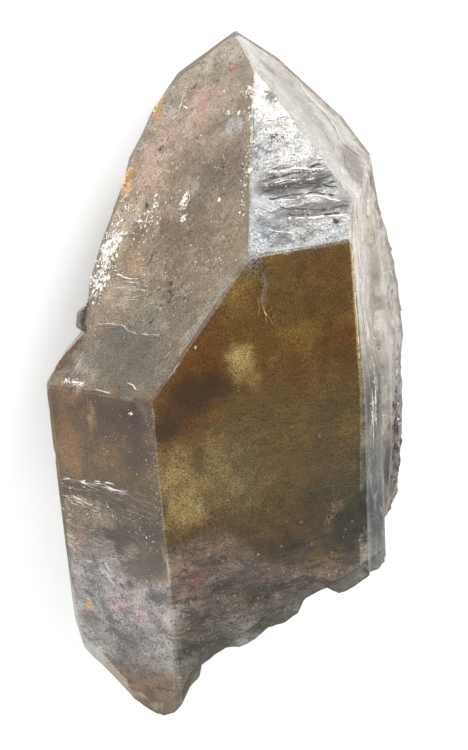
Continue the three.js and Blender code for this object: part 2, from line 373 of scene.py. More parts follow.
    def break_height(self, x: Array, z: Array) -> Array:
        """Height of the break: the lower of a slope and a level, blended, with lumps and a ripple.

        The slope is start + a x + b z. Within `break_blend` of the level the two are rounded by
        blend / 4 times the square of the closeness. Each lump adds rise * exp(-(distance / reach)^2).

        Args:
            x: Places across.
            z: Places in depth.

        Returns:
            The heights c.
        """
        start, across, deep = self.break_slope
        steep = start + across * x + deep * z
        close = np.maximum(self.break_blend - np.abs(steep - self.break_behind), 0) / self.break_blend
        height = np.minimum(steep, self.break_behind) - close**2 * self.break_blend / 4
        for lump_x, lump_z, reach, rise in self.break_lumps:
            height = height + rise * np.exp(-((x - lump_x) ** 2 + (z - lump_z) ** 2) / reach**2)
        ring_x, ring_z, length, rise = self.ripple
        return height + rise * np.sin(2 * np.pi * np.hypot(x - ring_x, z - ring_z) / length)


RIM: Dict[Side, Profile] = {
    Side.LEFT: ((0, -47.2), (0.08, -49), (0.28, -52.3), (0.44, -55.2), (0.6, -56.7), (0.76, -57.0),
                (0.9, -56.0), (1, -54.2)),
    Side.FRONT: ((0, -54.2), (0.05, -51.4), (0.105, -49.9), (0.118, -48), (0.17, -46.9),
                 (0.25, -45.7), (0.32, -46.2), (0.41, -45), (0.47, -43.6), (0.55, -43.4),
                 (0.625, -42.2), (0.66, -39.9), (0.78, -38.6), (0.84, -40.2), (0.92, -39.6),
                 (1, -38)),
    Side.STRIP: ((0, -38), (0.5, -38.6), (1, -38.2)),
    Side.RISER: ((0, -38.2), (1, -38.2)),
    Side.OVERGROWTH: ((0, -38.2), (1, -37.8)),
    Side.BACK_RIGHT: ((0, -37.8), (0.12, -35.2), (0.3, -34.4), (0.45, -34.7), (0.6, -33),
                      (0.8, -30.6), (1, -30.2)),
    Side.BACK: ((0, -30.2), (0.3, -29), (0.6, -30.6), (1, -28.6)),
    Side.BACK_LEFT: ((0, -28.6), (0.2, -30), (0.45, -29.6), (0.62, -33), (0.8, -37.5),
                     (0.92, -44), (1, -47.2)),
}


@dataclass
class Places:
    """Points on the form, with what is known of each: side, zone, place across, distance to an edge."""

    x: Array
    c: Array
    z: Array
    side: Array
    zone: Array
    q: Array
    from_edge: Array


@dataclass
class Shell(Places):
    """A closed skin as a grid: rings of points from the top down, and an end point at top and bottom."""

    top: Tuple[float, float, float]
    bottom: Tuple[float, float, float]

    def place(self) -> Array:
        """The grid's points and the two end points, in one list of (x, c, z)."""
        grid = np.stack([self.x, self.c, self.z], axis=-1).reshape(-1, 3)
        return np.vstack([grid, self.top, self.bottom])

    def spread(self, values: Array) -> Array:
        """A grid of values as one list, with the end points given their rings' own values."""
        flat = values.reshape((-1,) + values.shape[2:])
        return np.concatenate([flat, values[0, :1], values[-1, :1]])

    def triangles(self) -> Array:
        """Triangles between neighbouring rings and columns, and fans at both ends, facing out."""
        rings, columns = self.x.shape
        here = np.arange(rings * columns).reshape(rings, columns)
        beside = np.roll(here, -1, axis=1)
        upper, lower = here[:-1], here[1:]
        upper_beside, lower_beside = beside[:-1], beside[1:]
        first = np.stack([upper, lower, upper_beside], axis=-1).reshape(-1, 3)
        second = np.stack([upper_beside, lower, lower_beside], axis=-1).reshape(-1, 3)
        top, bottom = rings * columns, rings * columns + 1
        cap = np.stack([np.full(columns, top), here[0], beside[0]], axis=-1)
        base = np.stack([np.full(columns, bottom), beside[-1], here[-1]], axis=-1)
        return np.vstack([first, second, cap, base])


@dataclass(frozen=True)
class Fineness:
    """How finely a shell is divided."""

    columns: Dict[Side, int]
    pitch: float
    fine_pitch: float
    fine_from: float
    fine_to: float
    rim_rings: int
    break_rings: int


EDGE_STEPS = (0.0, 0.12, 0.35, 0.8)
EDGE_FULL_WIDTH = 4.0
WELD = 1e-3


@dataclass(frozen=True)
class ShellBuilder:
    """Works out the grid of a shell on the form: walls down to the rim, then rings across the break."""

    form: CrystalForm
    inset: Inset
    fineness: Fineness
    top: float
    rim_lift: float
    ragged: float

    def heights(self) -> Array:
        """Heights of the wall's rings: every bend of the form, with even steps between them."""
        form = self.form
        bends = [c for p in (form.back_left_profile, form.back_right_profile, form.overgrowth_rise,
                             form.strip_profile) for c, _ in p]
        folds = [form.fold(s) for s in (Side.LEFT, Side.FRONT, Side.STRIP, Side.BACK)]
        bends += [f + d for f in folds for d in (-0.5, -0.2, 0, 0.2, 0.5)]
        marks = np.array([self.top, form.rim_top] + bends)
        marks = np.unique(marks[(marks <= self.top) & (marks >= form.rim_top)])[::-1]
        rings = [self.top]
        for mark in marks[1:]:
            last = rings[-1]
            if last - mark < 0.1:
                continue
            fine = self.fineness.fine_from < (last + mark) / 2 < self.fineness.fine_to
            pitch = self.fineness.fine_pitch if fine else self.fineness.pitch
            count = math.ceil((last - mark) / pitch)
            rings += list(last + (mark - last) * np.arange(1, count + 1) / count)
        return np.array(rings)

    def parts(self, side: Side, width: Array) -> Array:
        """Each column's part of a side's width: close together at both edges, even between them.

        Args:
            side: The side.
            width: Width of the side at each ring.

        Returns:
            The part of the width, 0 to under 1, for each ring and column.
        """
        count = self.fineness.columns[side]
        if count <= 2 * len(EDGE_STEPS):
            return np.tile(np.arange(count) / count, (len(width), 1))
        width = np.maximum(width, 1e-6)[:, None]
        near = np.array(EDGE_STEPS)[None, :] * np.minimum(1, width / EDGE_FULL_WIDTH) / width
        inner = count - 2 * len(EDGE_STEPS) + 2
        first, last = near[:, -1:], 1 - near[:, -1:]
        middle = first + (last - first) * np.arange(1, inner)[None, :] / inner
        return np.hstack([near, middle, last, 1 - near[:, -2:0:-1]])

    def wall(self, side: Side, part: Array, c: Array) -> Tuple[Array, Array, Array]:
        """Points of one side as a function of two parameters, the part of its width and the height.

        Args:
            side: The side.
            part: Part of the way from the side's first corner to its last.
            c: Height.

        Returns:
            x, z and the side's width.
        """
        corners = self.form.corners(c, self.inset)
        x0, z0 = corners[side]
        x1, z1 = corners[(side + 1) % len(corners)]
        return x0 + (x1 - x0) * part, z0 + (z1 - z0) * part, np.hypot(x1 - x0, z1 - z0)

    def rim(self, side: Side, part: Array) -> Array:
        """Height of the break's edge along a side, with small scallops bitten out of it."""
        height = along(RIM[side], part) + self.rim_lift
        at = side * 40.0 + part * self.fineness.columns[side] * 0.5
        bite = np.abs(grain(at, at * 0, at * 0, 3.4, 91, 2))
        return height + self.ragged * bite * np.minimum(1, 12 * np.minimum(part, 1 - part))

    def build(self) -> Shell:
        """The whole shell, before any fine relief.

        Returns:
            The grid with its sides, zones, distances to the nearest upright edge, and ends.
        """
        rings = self.heights()
        columns: List[Tuple[Array, ...]] = []
        for side in Side:
            level = rings[:, None]
            _, _, width = self.wall(side, np.zeros_like(level), level)
            part = self.parts(side, width[:, 0])
            step = np.arange(1, self.fineness.rim_rings + 1)[:, None] / self.fineness.rim_rings
            low_part = np.tile(part[-1], (len(step), 1))
            drop = self.rim(side, low_part) - self.form.rim_top
            c = np.vstack([np.tile(level, (1, part.shape[1])), self.form.rim_top + drop * step])
            part = np.vstack([part, low_part])
            x, z, width = self.wall(side, part, c)
            angle = ANGLE[side]
            q = math.cos(angle) * x - math.sin(angle) * z
            edge = np.minimum(part, 1 - part) * width
            zone = np.where(c > self.form.fold(side), Zone.TIP, Zone.PRISM)
            columns.append((x, c, z, np.full(x.shape, int(side)), zone, q, edge))
        x, c, z, side, zone, q, edge = (np.hstack(parts) for parts in zip(*columns))

        count = self.fineness.break_rings
        inward = 1 - (np.arange(1, count + 1) / (count + 1)) ** 1.4
        rim_x, rim_c, rim_z = x[-1], c[-1], z[-1]
        mid_x, mid_z = self.form.break_middle
        bx = mid_x + (rim_x - mid_x) * inward[:, None]
        bz = mid_z + (rim_z - mid_z) * inward[:, None]
        miss = rim_c - self.form.break_height(rim_x, rim_z)
        bc = self.form.break_height(bx, bz) + miss * inward[:, None] ** 4
        still = self.rim_lift * (1 - inward[:, None] ** 4)
        bc = bc + still
        middle = float(self.form.break_height(np.array(mid_x), np.array(mid_z))) + self.rim_lift
        far = (1 - inward[:, None]) * np.hypot(rim_x - mid_x, rim_z - mid_z)
        return Shell(
            x=np.vstack([x, bx]), c=np.vstack([c, bc]), z=np.vstack([z, bz]),
            side=np.vstack([side, np.tile(side[-1], (count, 1))]),
            zone=np.vstack([zone, np.full(bx.shape, int(Zone.BREAK))]),
            q=np.vstack([q, bx]), from_edge=np.vstack([edge, far]),
            top=(float(np.mean(x[0])), float(rings[0]), float(np.mean(z[0]))),
            bottom=(mid_x, middle, mid_z),
        )


@dataclass(frozen=True)
class Placing:
    """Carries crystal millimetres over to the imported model's frame in metres."""

    shift: Tuple[float, float, float]

    @classmethod
    def from_frame(cls, form: CrystalForm) -> "Placing":
        """Finds the shift from the node's box: its left-most corner, its top and its highest point."""
        low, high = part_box(NODE)
        leftmost = -max(v for _, v in form.back_left_profile) / math.sqrt(3)
        top = form.tip[1] - form.tip_chip
        return cls((low[0] / MILLIMETRE - leftmost, high[1] / MILLIMETRE - top, high[2] / MILLIMETRE))

    def metres(self, points: Array) -> Array:
        """Crystal places (x, c, z) as frame places in metres."""
        return (np.asarray(points, float) + self.shift) * MILLIMETRE

    def vector(self, point: Sequence[float]) -> Vector:
        """One crystal place as a frame place in metres."""
        return Vector(self.metres(np.array(point)).tolist())


class MeshMaker:
    """Makes Blender meshes from arrays and hands each piece to the frame."""

    def __init__(self, placing: Placing) -> None:
        """Keeps the placing that every piece shares."""
        self.placing = placing

    def piece(self, name: str, points: Array, triangles: Array, material: bpy.types.Material,
              slot: str, attributes: Optional[Dict[str, Array]] = None,
              crease: Optional[float] = None) -> bpy.types.Object:
        """Welds points that fall together, drops triangles left with no area, and makes the object.

        Args:
            name: The piece's name.
            points: Crystal places in millimetres.
            triangles: Three point numbers each.
            material: Its material.
            slot: The record's material slot; not used.
            attributes: Values or colours for each point, by name.
            crease: Angle in degrees above which an edge shows sharp; none gives flat facets.

        Returns:
            The object, riding on the root body.
        """
        _, kept, merged = np.unique(np.round(points / WELD).astype(np.int64), axis=0,
                                    return_index=True, return_inverse=True)
        triangles = merged.reshape(-1)[triangles]
        a, b, c = triangles.T
        triangles = triangles[(a != b) & (b != c) & (c != a)]
        _, first, times = np.unique(np.sort(triangles, axis=1), axis=0, return_index=True,
                                    return_counts=True)
        triangles = triangles[np.sort(first[times % 2 == 1])]
        points = points[kept]
        mesh = bpy.data.meshes.new(name)
        mesh.vertices.add(len(points))
        mesh.vertices.foreach_set("co", self.placing.metres(points).astype(np.float32).ravel())
        mesh.loops.add(triangles.size)
        mesh.loops.foreach_set("vertex_index", triangles.astype(np.int32).ravel())
        mesh.polygons.add(len(triangles))
        mesh.polygons.foreach_set("loop_start", np.arange(0, triangles.size, 3, dtype=np.int32))
        mesh.update(calc_edges=True)
        for key, values in (attributes or {}).items():
            values = values[kept]
            if values.ndim == 2:
                layer = mesh.attributes.new(key, "FLOAT_VECTOR", "POINT")
                layer.data.foreach_set("vector", values.astype(np.float32).ravel())
            else:
                layer = mesh.attributes.new(key, "FLOAT", "POINT")
                layer.data.foreach_set("value", values.astype(np.float32).ravel())
        if crease is not None:
            mesh.shade_smooth()
            mesh.set_sharp_from_angle(angle=math.radians(crease))
        mesh.validate()
        mesh.materials.append(material)
        piece = bpy.data.objects.new(name, mesh)
        bpy.context.scene.collection.objects.link(piece)
        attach(piece, "root")
        return piece


@dataclass(frozen=True)
class ColourPatch:
    """A soft patch of colour on one side: where it is, how far it reaches, its turn and strength."""

    side: Side
    q: float
    c: float
    across: float
    up: float
    colour: Shown
    turn: float = 0.0
    strength: float = 0.8
    soft: float = 0.6
    ragged: float = 0.45


def listed(kind: type, table: Rows) -> list:
    """Makes a table's rows into marks of one kind, each with the side that it is listed under."""
    return [kind(side, *row) for side, rows in table for row in rows]


def paint(colours: Array, shell: Shell, patches: Sequence[ColourPatch], warp: float) -> Array:
    """Lays soft patches over a shell's colours, in order.

    A patch is an ellipse in the side's own plane, whose outline wavers by `warp` millimetres of
    grain and frays by its raggedness. Its share falls from its strength inside to nothing outside.

    Args:
        colours: Point of each grid point.
        shell: The grid.
        patches: The patches of colour, painted highlight and painted shade among them.
        warp: How far the outlines waver, in millimetres.

    Returns:
        The new colours.
    """
    q = shell.q + warp * grain(shell.x, shell.c, shell.z, 5.0, 301)
    c = shell.c + warp * grain(shell.x, shell.c, shell.z, 5.0, 302)
    fray = grain(shell.x, shell.c, shell.z, 2.2, 303)
    for patch in patches:
        turn = math.radians(patch.turn)
        du, dv = q - patch.q, c - patch.c
        u = (du * math.cos(turn) + dv * math.sin(turn)) / patch.across
        v = (dv * math.cos(turn) - du * math.sin(turn)) / patch.up
        share = smooth(1.0, 1.0 - patch.soft, np.hypot(u, v) + patch.ragged * fray) * patch.strength
        there = (shell.side == patch.side) & (shell.zone != Zone.BREAK)
        share = np.where(there, share, 0)[..., None]
        colours = colours * (1 - share) + daylight(patch.colour) * share
    return colours


BROWN = (134, 108, 62)
DARK_BROWN = (96, 52, 16)
RED_BROWN = (128, 74, 38)
GOLD = (218, 196, 146)
OLIVE = (134, 112, 66)
DARK_OLIVE = (94, 80, 50)
PINK_GREY = (156, 140, 130)
PINK = (214, 186, 176)
RED = (184, 134, 122)
DARK_GREY = (70, 68, 60)
GREY = (160, 154, 142)
BEIGE = (172, 154, 130)
WHITE = (236, 230, 222)
PURPLE_BROWN = (112, 80, 58)
RUST = (226, 168, 88)
PALE = (226, 221, 212)
SILVER = (214, 216, 222)
CLOUD_WHITE = (206, 198, 192)
STONE = (146, 140, 128)
PEACH = (216, 176, 140)
CREAM = (240, 228, 208)
DULL = (206, 192, 170)
INK = (56, 50, 44)
EARTH = (112, 90, 62)
BRICK = (160, 100, 84)
STRAW = (232, 206, 146)
LILAC = (200, 194, 198)
FAINT = (172, 164, 158)
SOOT = (60, 56, 50)
UMBER = (110, 84, 58)
ASH = (120, 118, 114)
DUN = (104, 92, 78)
MAUVE = (196, 190, 192)
SAND = (166, 142, 98)
CHARCOAL = (70, 66, 60)
SLATE = (122, 118, 112)
STEEL = (104, 110, 116)

# Patches of colour in the dust, with painted highlight and painted shade on the stepped tip face: q, c,
# reach across and up, colour, turn, strength, soft, ragged
STAINS_AND_PAINTED_LIGHT: Rows = ((Side.FRONT, (
    # Shades, and the dark smoke at the upper left
    (34.5, 18.5, 6, 3.5, RED_BROWN, 0, 0.5), (35, 6, 4, 12, DARK_BROWN, 0, 0.4),
    (24, 12, 9, 8, OLIVE, 20, 0.4), (27, 2, 8, 5, RED_BROWN, 10, 0.35),
    (10.2, 7.6, 2.4, 6.5, RED_BROWN, -38, 0.9, 0.8, 0.3), (9, 2.5, 7.5, 6, RED_BROWN, 20, 0.9, 0.8, 0.3),
    (5, -4, 7, 4.5, RED_BROWN, 20, 0.9, 0.9, 0.3), (7.6, 0.4, 8.2, 4.8, (88, 42, 12), 22, 1, 0.8, 0.35),
    (11.2, 1.6, 3.8, 3.4, (70, 34, 10), 0, 0.9, 0.9, 0.35),
    (2, -4.8, 3.6, 3.2, (76, 38, 12), 30, 0.95, 0.8, 0.35),
    (11.4, -4.4, 3, 2.4, (158, 112, 62), 0, 0.6, 1, 0.3),
    # The bright patch, the gold haze and the grey triangle at the top
    (16.5, 3.6, 3.8, 3.4, (255, 250, 238), 10, 1, 1, 0.4),
    (18.4, 0.4, 3, 2.2, (224, 202, 156), 0, 0.6, 1, 0.4), (3.6, -13, 5.2, 7, GOLD, 0, 0.9, 0.9, 0.3),
    (4.8, -20.5, 4.8, 5.8, GOLD, 10, 0.9, 0.9, 0.3), (6.5, -19.5, 1.6, 1.2, PALE, 0, 0.45),
    (14, -14, 7, 9, GREY, 0, 0.3), (20, 19.8, 1.8, 3.2, (176, 184, 214), -24, 0.9, 0.7, 0.3),
    (21.2, 15.8, 0.9, 3.6, (170, 174, 196), -8, 0.8, 0.8, 0.3),
    # The dark right foot and its pale wisps
    (32, -22, 6.5, 10, (92, 90, 78), 0, 0.75), (33.5, -29.5, 4.6, 6, (58, 68, 60)),
    (22.5, -30, 6.5, 4.2, DARK_OLIVE, -8, 0.75), (31.3, -24.6, 1.7, 1.5, PINK_GREY),
    (28.8, -27.4, 1.6, 1.8, PINK_GREY, 25),
    # The crest of the low cloud, its red spots and dark bands
    (3.2, -23.4, 3.5, 2.4, OLIVE, 0, 0.5), (3.5, -29.5, 4, 3, PINK, 20, 0.6),
    (9.5, -27.2, 4, 1.8, PINK, 12, 0.5), (5.4, -32.3, 2.6, 3.4, RED, -10, 0.8, 0.9),
    (13.2, -36.6, 1.6, 1.2, RED), (27.4, -35.4, 4.6, 1, RED, 8, 0.6), (20, -34.6, 3.6, 1, RED, -14, 0.5),
    (11, -32.5, 4.2, 1.8, CLOUD_WHITE, 12, 0.6), (9.2, -35.2, 3.2, 1, DARK_OLIVE, 8, 0.9),
    (17.5, -37.4, 5.8, 1.3, DARK_OLIVE, 3, 0.9), (25, -38.2, 3.4, 1.4, DARK_OLIVE, 10, 0.7),
    # The foot, with its veins and moss
    (13, -42.5, 5.4, 3.2, (184, 180, 168), 15), (18, -41, 4, 2.4, PURPLE_BROWN, 15, 0.4),
    (3, -49, 4.4, 3.6, GREY, 0, 0.7), (0.5, -37.6, 3.6, 3.4, CLOUD_WHITE, 0, 0.6, 0.8, 0.3),
    (1.6, -46.8, 3.4, 2.6, (150, 150, 136), 0, 0.7, 0.7, 0.3),
    (36.4, -24, 3.4, 13, (62, 74, 70), 0, 0.9, 0.8, 0.3), (3, -34.4, 4.5, 2.4, PINK, 0, 0.6, 0.9, 0.3),
    (4.6, -40.2, 3.6, 0.45, DARK_GREY, 14), (5.2, -42.6, 3.2, 0.5, DARK_GREY, 8, 0.7),
    (3, -45, 3.2, 1, DARK_GREY, -24, 0.95), (6.2, -44.8, 1.8, 1.2, DARK_GREY, 20, 0.9),
    # The stepped tip face: white treads that are painted highlight, grey steps that are painted shade, a
    # blue block and a brown notch
    (32.5, 42, 5, 7, WHITE, 0, 0.95, 0.8), (33.6, 35.2, 5.4, 1.6, WHITE, -6, 0.95),
    (32, 30.9, 9, 1.5, (122, 116, 106), 2, 0.95, 0.5), (26.4, 31.6, 3, 1.6, (104, 96, 84), 3, 0.9),
    (30.8, 29.2, 2.8, 0.9, (128, 112, 112), 8, 0.9), (35.5, 28.6, 3.4, 0.9, WHITE, 4, 0.7),
    (34, 27.4, 6.5, 1, (140, 136, 134), 3, 0.85), (25.4, 25.6, 3, 2, (150, 156, 164), -30, 0.7),
    (34, 24.2, 5.6, 1.8, WHITE, 6, 0.85), (29, 38.6, 1.3, 1.7, (176, 180, 182), 0, 0.9, 0.3, 0.2),
    (28.7, 36.6, 1.3, 0.5, (104, 88, 72), -8, 1, 0.3, 0.2),
)), (Side.LEFT, (
    # The brown top, with a pale column and streak
    (-7.5, -3.4, 9, 5.2, (60, 34, 22), 4, 0.95, 0.7, 0.3),
    (-20.5, -9, 3.8, 9, (196, 164, 130), 0, 0.9, 0.8, 0.3),
    (-19.4, -1.4, 3.2, 2.4, (214, 198, 180), 0, 0.8, 0.9, 0.4),
    (-19.7, -12.4, 2.8, 3, (216, 172, 150), 0, 0.6, 1, 0.4),
    (-14.9, -3.8, 1.1, 4.6, WHITE, 2, 0.95, 1, 0.4), (-11.4, -7, 3.4, 1.6, (112, 54, 30), 8, 0.8, 0.9, 0.4),
    (-12.2, -11.2, 4.6, 3, (176, 146, 84), 16, 0.85, 0.9, 0.3),
    (-4.6, -9.6, 4.8, 5.4, (62, 36, 22), 0, 0.9, 0.8, 0.4), (-3, -3, 4, 2.4, (92, 44, 30), 0, 0.7, 1, 0.4),
    # Bands under the scars
    (-12, -18.2, 12, 2, (136, 120, 104), -5, 0.8, 0.7, 0.3),
    (-17, -22, 7.6, 2.4, (226, 216, 206), -8, 0.95, 0.7, 0.3),
    (-4.2, -23.2, 5, 3.4, (84, 68, 40), 0, 0.95, 0.8, 0.3), (-8, -20.4, 2.4, 1, RED_BROWN, 0, 0.7),
    (-14, -25, 7, 1.6, (160, 148, 128), 0, 0.7, 0.7, 0.3),
    (-11, -25.6, 6.8, 0.5, DARK_GREY, 0, 0.8, 0.8, 0.3),
    # Pale and dark patches in the low cloud
    (-20.8, -27.6, 3.6, 3.6, PINK, 0, 0.85, 0.8, 0.3),
    (-8.6, -27.6, 3.6, 1.7, CLOUD_WHITE, 18, 0.8, 1, 0.4),
    (-4.6, -30, 6.8, 3.6, (78, 62, 34), 22, 0.9, 0.8, 0.4), (-0.5, -27, 0.8, 2.6, PINK, 10, 0.9, 0.6, 0.2),
    (-17.2, -32.4, 3.2, 3.4, (128, 134, 142), 10, 0.85, 0.7, 0.5),
    (-10.6, -33.4, 1.8, 1, DARK_GREY, -20, 0.95, 0.6, 0.6),
    (-4, -35.4, 2.4, 1.4, DARK_GREY, 30, 0.95, 0.8, 0.6),
    (-0.9, -34.2, 1, 1.4, DARK_GREY, 0, 0.9, 0.6, 0.6),
    (-2.6, -36, 4.4, 2.6, (118, 112, 108), 0, 0.7, 0.9, 0.5),
    (-10.8, -39.2, 6.2, 3.6, (232, 200, 204), -26, 1, 0.7, 0.5),
    (-2.4, -38.6, 2.6, 1.6, CLOUD_WHITE, 0, 0.7, 0.8, 0.4),
    # Rust, veins and the foot
    (-20.4, -39.6, 1.5, 1.6, (196, 160, 104), 0, 0.85, 0.9, 0.4),
    (-19.8, -42.2, 3, 1.8, DARK_OLIVE, -20, 0.8, 0.7, 0.4),
    (-15.6, -39.6, 3.2, 0.5, DARK_GREY, -50, 0.8, 0.7, 0.6),
    (-12.4, -43.8, 3, 0.8, DARK_GREY, -24, 0.9, 0.7, 0.6),
    (-2.2, -41.6, 2.4, 0.7, DARK_GREY, -20, 0.9, 0.7, 0.6),
    (-18.6, -46.4, 1.4, 1.4, WHITE, 0, 0.9, 0.6, 0.3),
    (-8.5, -47.2, 8, 2.6, (176, 170, 162), -6, 0.85, 0.7, 0.4),
    (-13.5, -47.6, 3, 1.4, GREY, -16, 0.6, 0.8, 0.4),
    (-11, -52.6, 7, 2.2, (206, 174, 146), -10, 0.95, 0.8, 0.3),
    (-4.4, -51.6, 5.6, 2, (184, 156, 126), -8, 0.9, 0.8, 0.3),
    (-6.6, -54.8, 8, 2.2, (150, 114, 80), -4, 0.95, 0.6, 0.2),
    # The frosted tip face: pink and pale blotches, with rust at its left edge
    (-12.4, 43.6, 3.6, 3.4, RED, 20, 0.35, 0.9), (-14.6, 44.6, 3.4, 3.4, PINK, 20, 0.8, 0.9),
    (-8.8, 49, 2.4, 1.8, RED, 0, 0.45, 0.9), (-12, 40, 6, 6, PINK, 0, 0.5, 0.9),
    (-19.6, 31, 4.6, 10, PINK, -14, 0.6, 1), (-21, 24, 3.4, 8, WHITE, -10, 0.5, 0.9),
    (-14.4, 37.5, 2, 2.4, PINK, 0, 0.4, 1), (-22.6, 43, 1.6, 2.4, RUST, 0, 0.95),
    (-23.6, 31.4, 1.6, 2.6, RUST, 0, 0.95),
    # Its grey cloud, brown streaks and olive belly
    (-9.5, 52, 5, 3, CLOUD_WHITE, 0, 0.7), (-5, 40, 1.8, 2.2, SILVER, 0, 0.7),
    (-4.4, 33.6, 6.5, 3.4, DARK_OLIVE, 40, 0.75, 0.9), (-7, 27.5, 5.5, 2.4, DARK_OLIVE, -30, 0.6, 0.9),
    (0.5, 34.5, 2.6, 3, PURPLE_BROWN, 40, 0.55, 0.9), (-6.5, 22.6, 8, 5, OLIVE, -15, 0.55, 1),
    (-11.5, 24.6, 1.4, 3.4, OLIVE, 20, 0.8, 0.9), (-15, 20.4, 5, 4, PEACH, 0, 0.4, 1),
    (-16, 15, 7, 3.4, WHITE, 0, 0.45, 1), (-6, 14, 6, 5, GREY, -20, 0.6, 1),
    # Its smooth grey foot
    (-10, 5, 13, 4.6, STONE, 0, 0.85, 0.5), (4, 12.2, 12.5, 1.6, (192, 188, 178), 67, 0.8, 0.7, 0.3),
    (-10.5, 7.6, 7.5, 1.6, (126, 118, 102), 0, 0.7), (-7.5, 5.2, 5, 2.2, (118, 110, 94), -25, 0.6),
    (-16.4, 3, 2.6, 4, CLOUD_WHITE, 30, 0.75), (-22.3, 10.4, 1.2, 1.6, DARK_BROWN),
    (-21.4, 4, 1.4, 2.6, (112, 94, 76), -30),
)), (Side.STRIP, (
    (43.4, 47.4, 1.6, 1.5, PURPLE_BROWN, 0, 0.9), (42.9, 46.6, 0.6, 0.7, RED),
    (42.6, 40, 4.2, 10, (176, 172, 164), -24, 0.9, 0.5, 0.2),
    (51.5, 39.5, 2.4, 10, WHITE, -16, 0.9, 0.4, 0.2), (46.6, 42.4, 1.2, 3.4, PINK, -20),
    (41, 29.8, 8.4, 2.4, (124, 100, 72), 10, 0.95, 0.35, 0.2), (41.4, 32.2, 1, 0.8, (190, 120, 104)),
    (26, -8, 14, 8, (110, 102, 90), 0, 0.9, 0.9), (22, -26, 16, 14, (52, 60, 56), 0, 0.95, 0.8),
)), (Side.OVERGROWTH, (
    (42, -8, 12, 8, GREY, 0, 0.6, 0.9), (42, -24, 14, 10, (84, 68, 62), 0, 0.9, 0.9),
)))


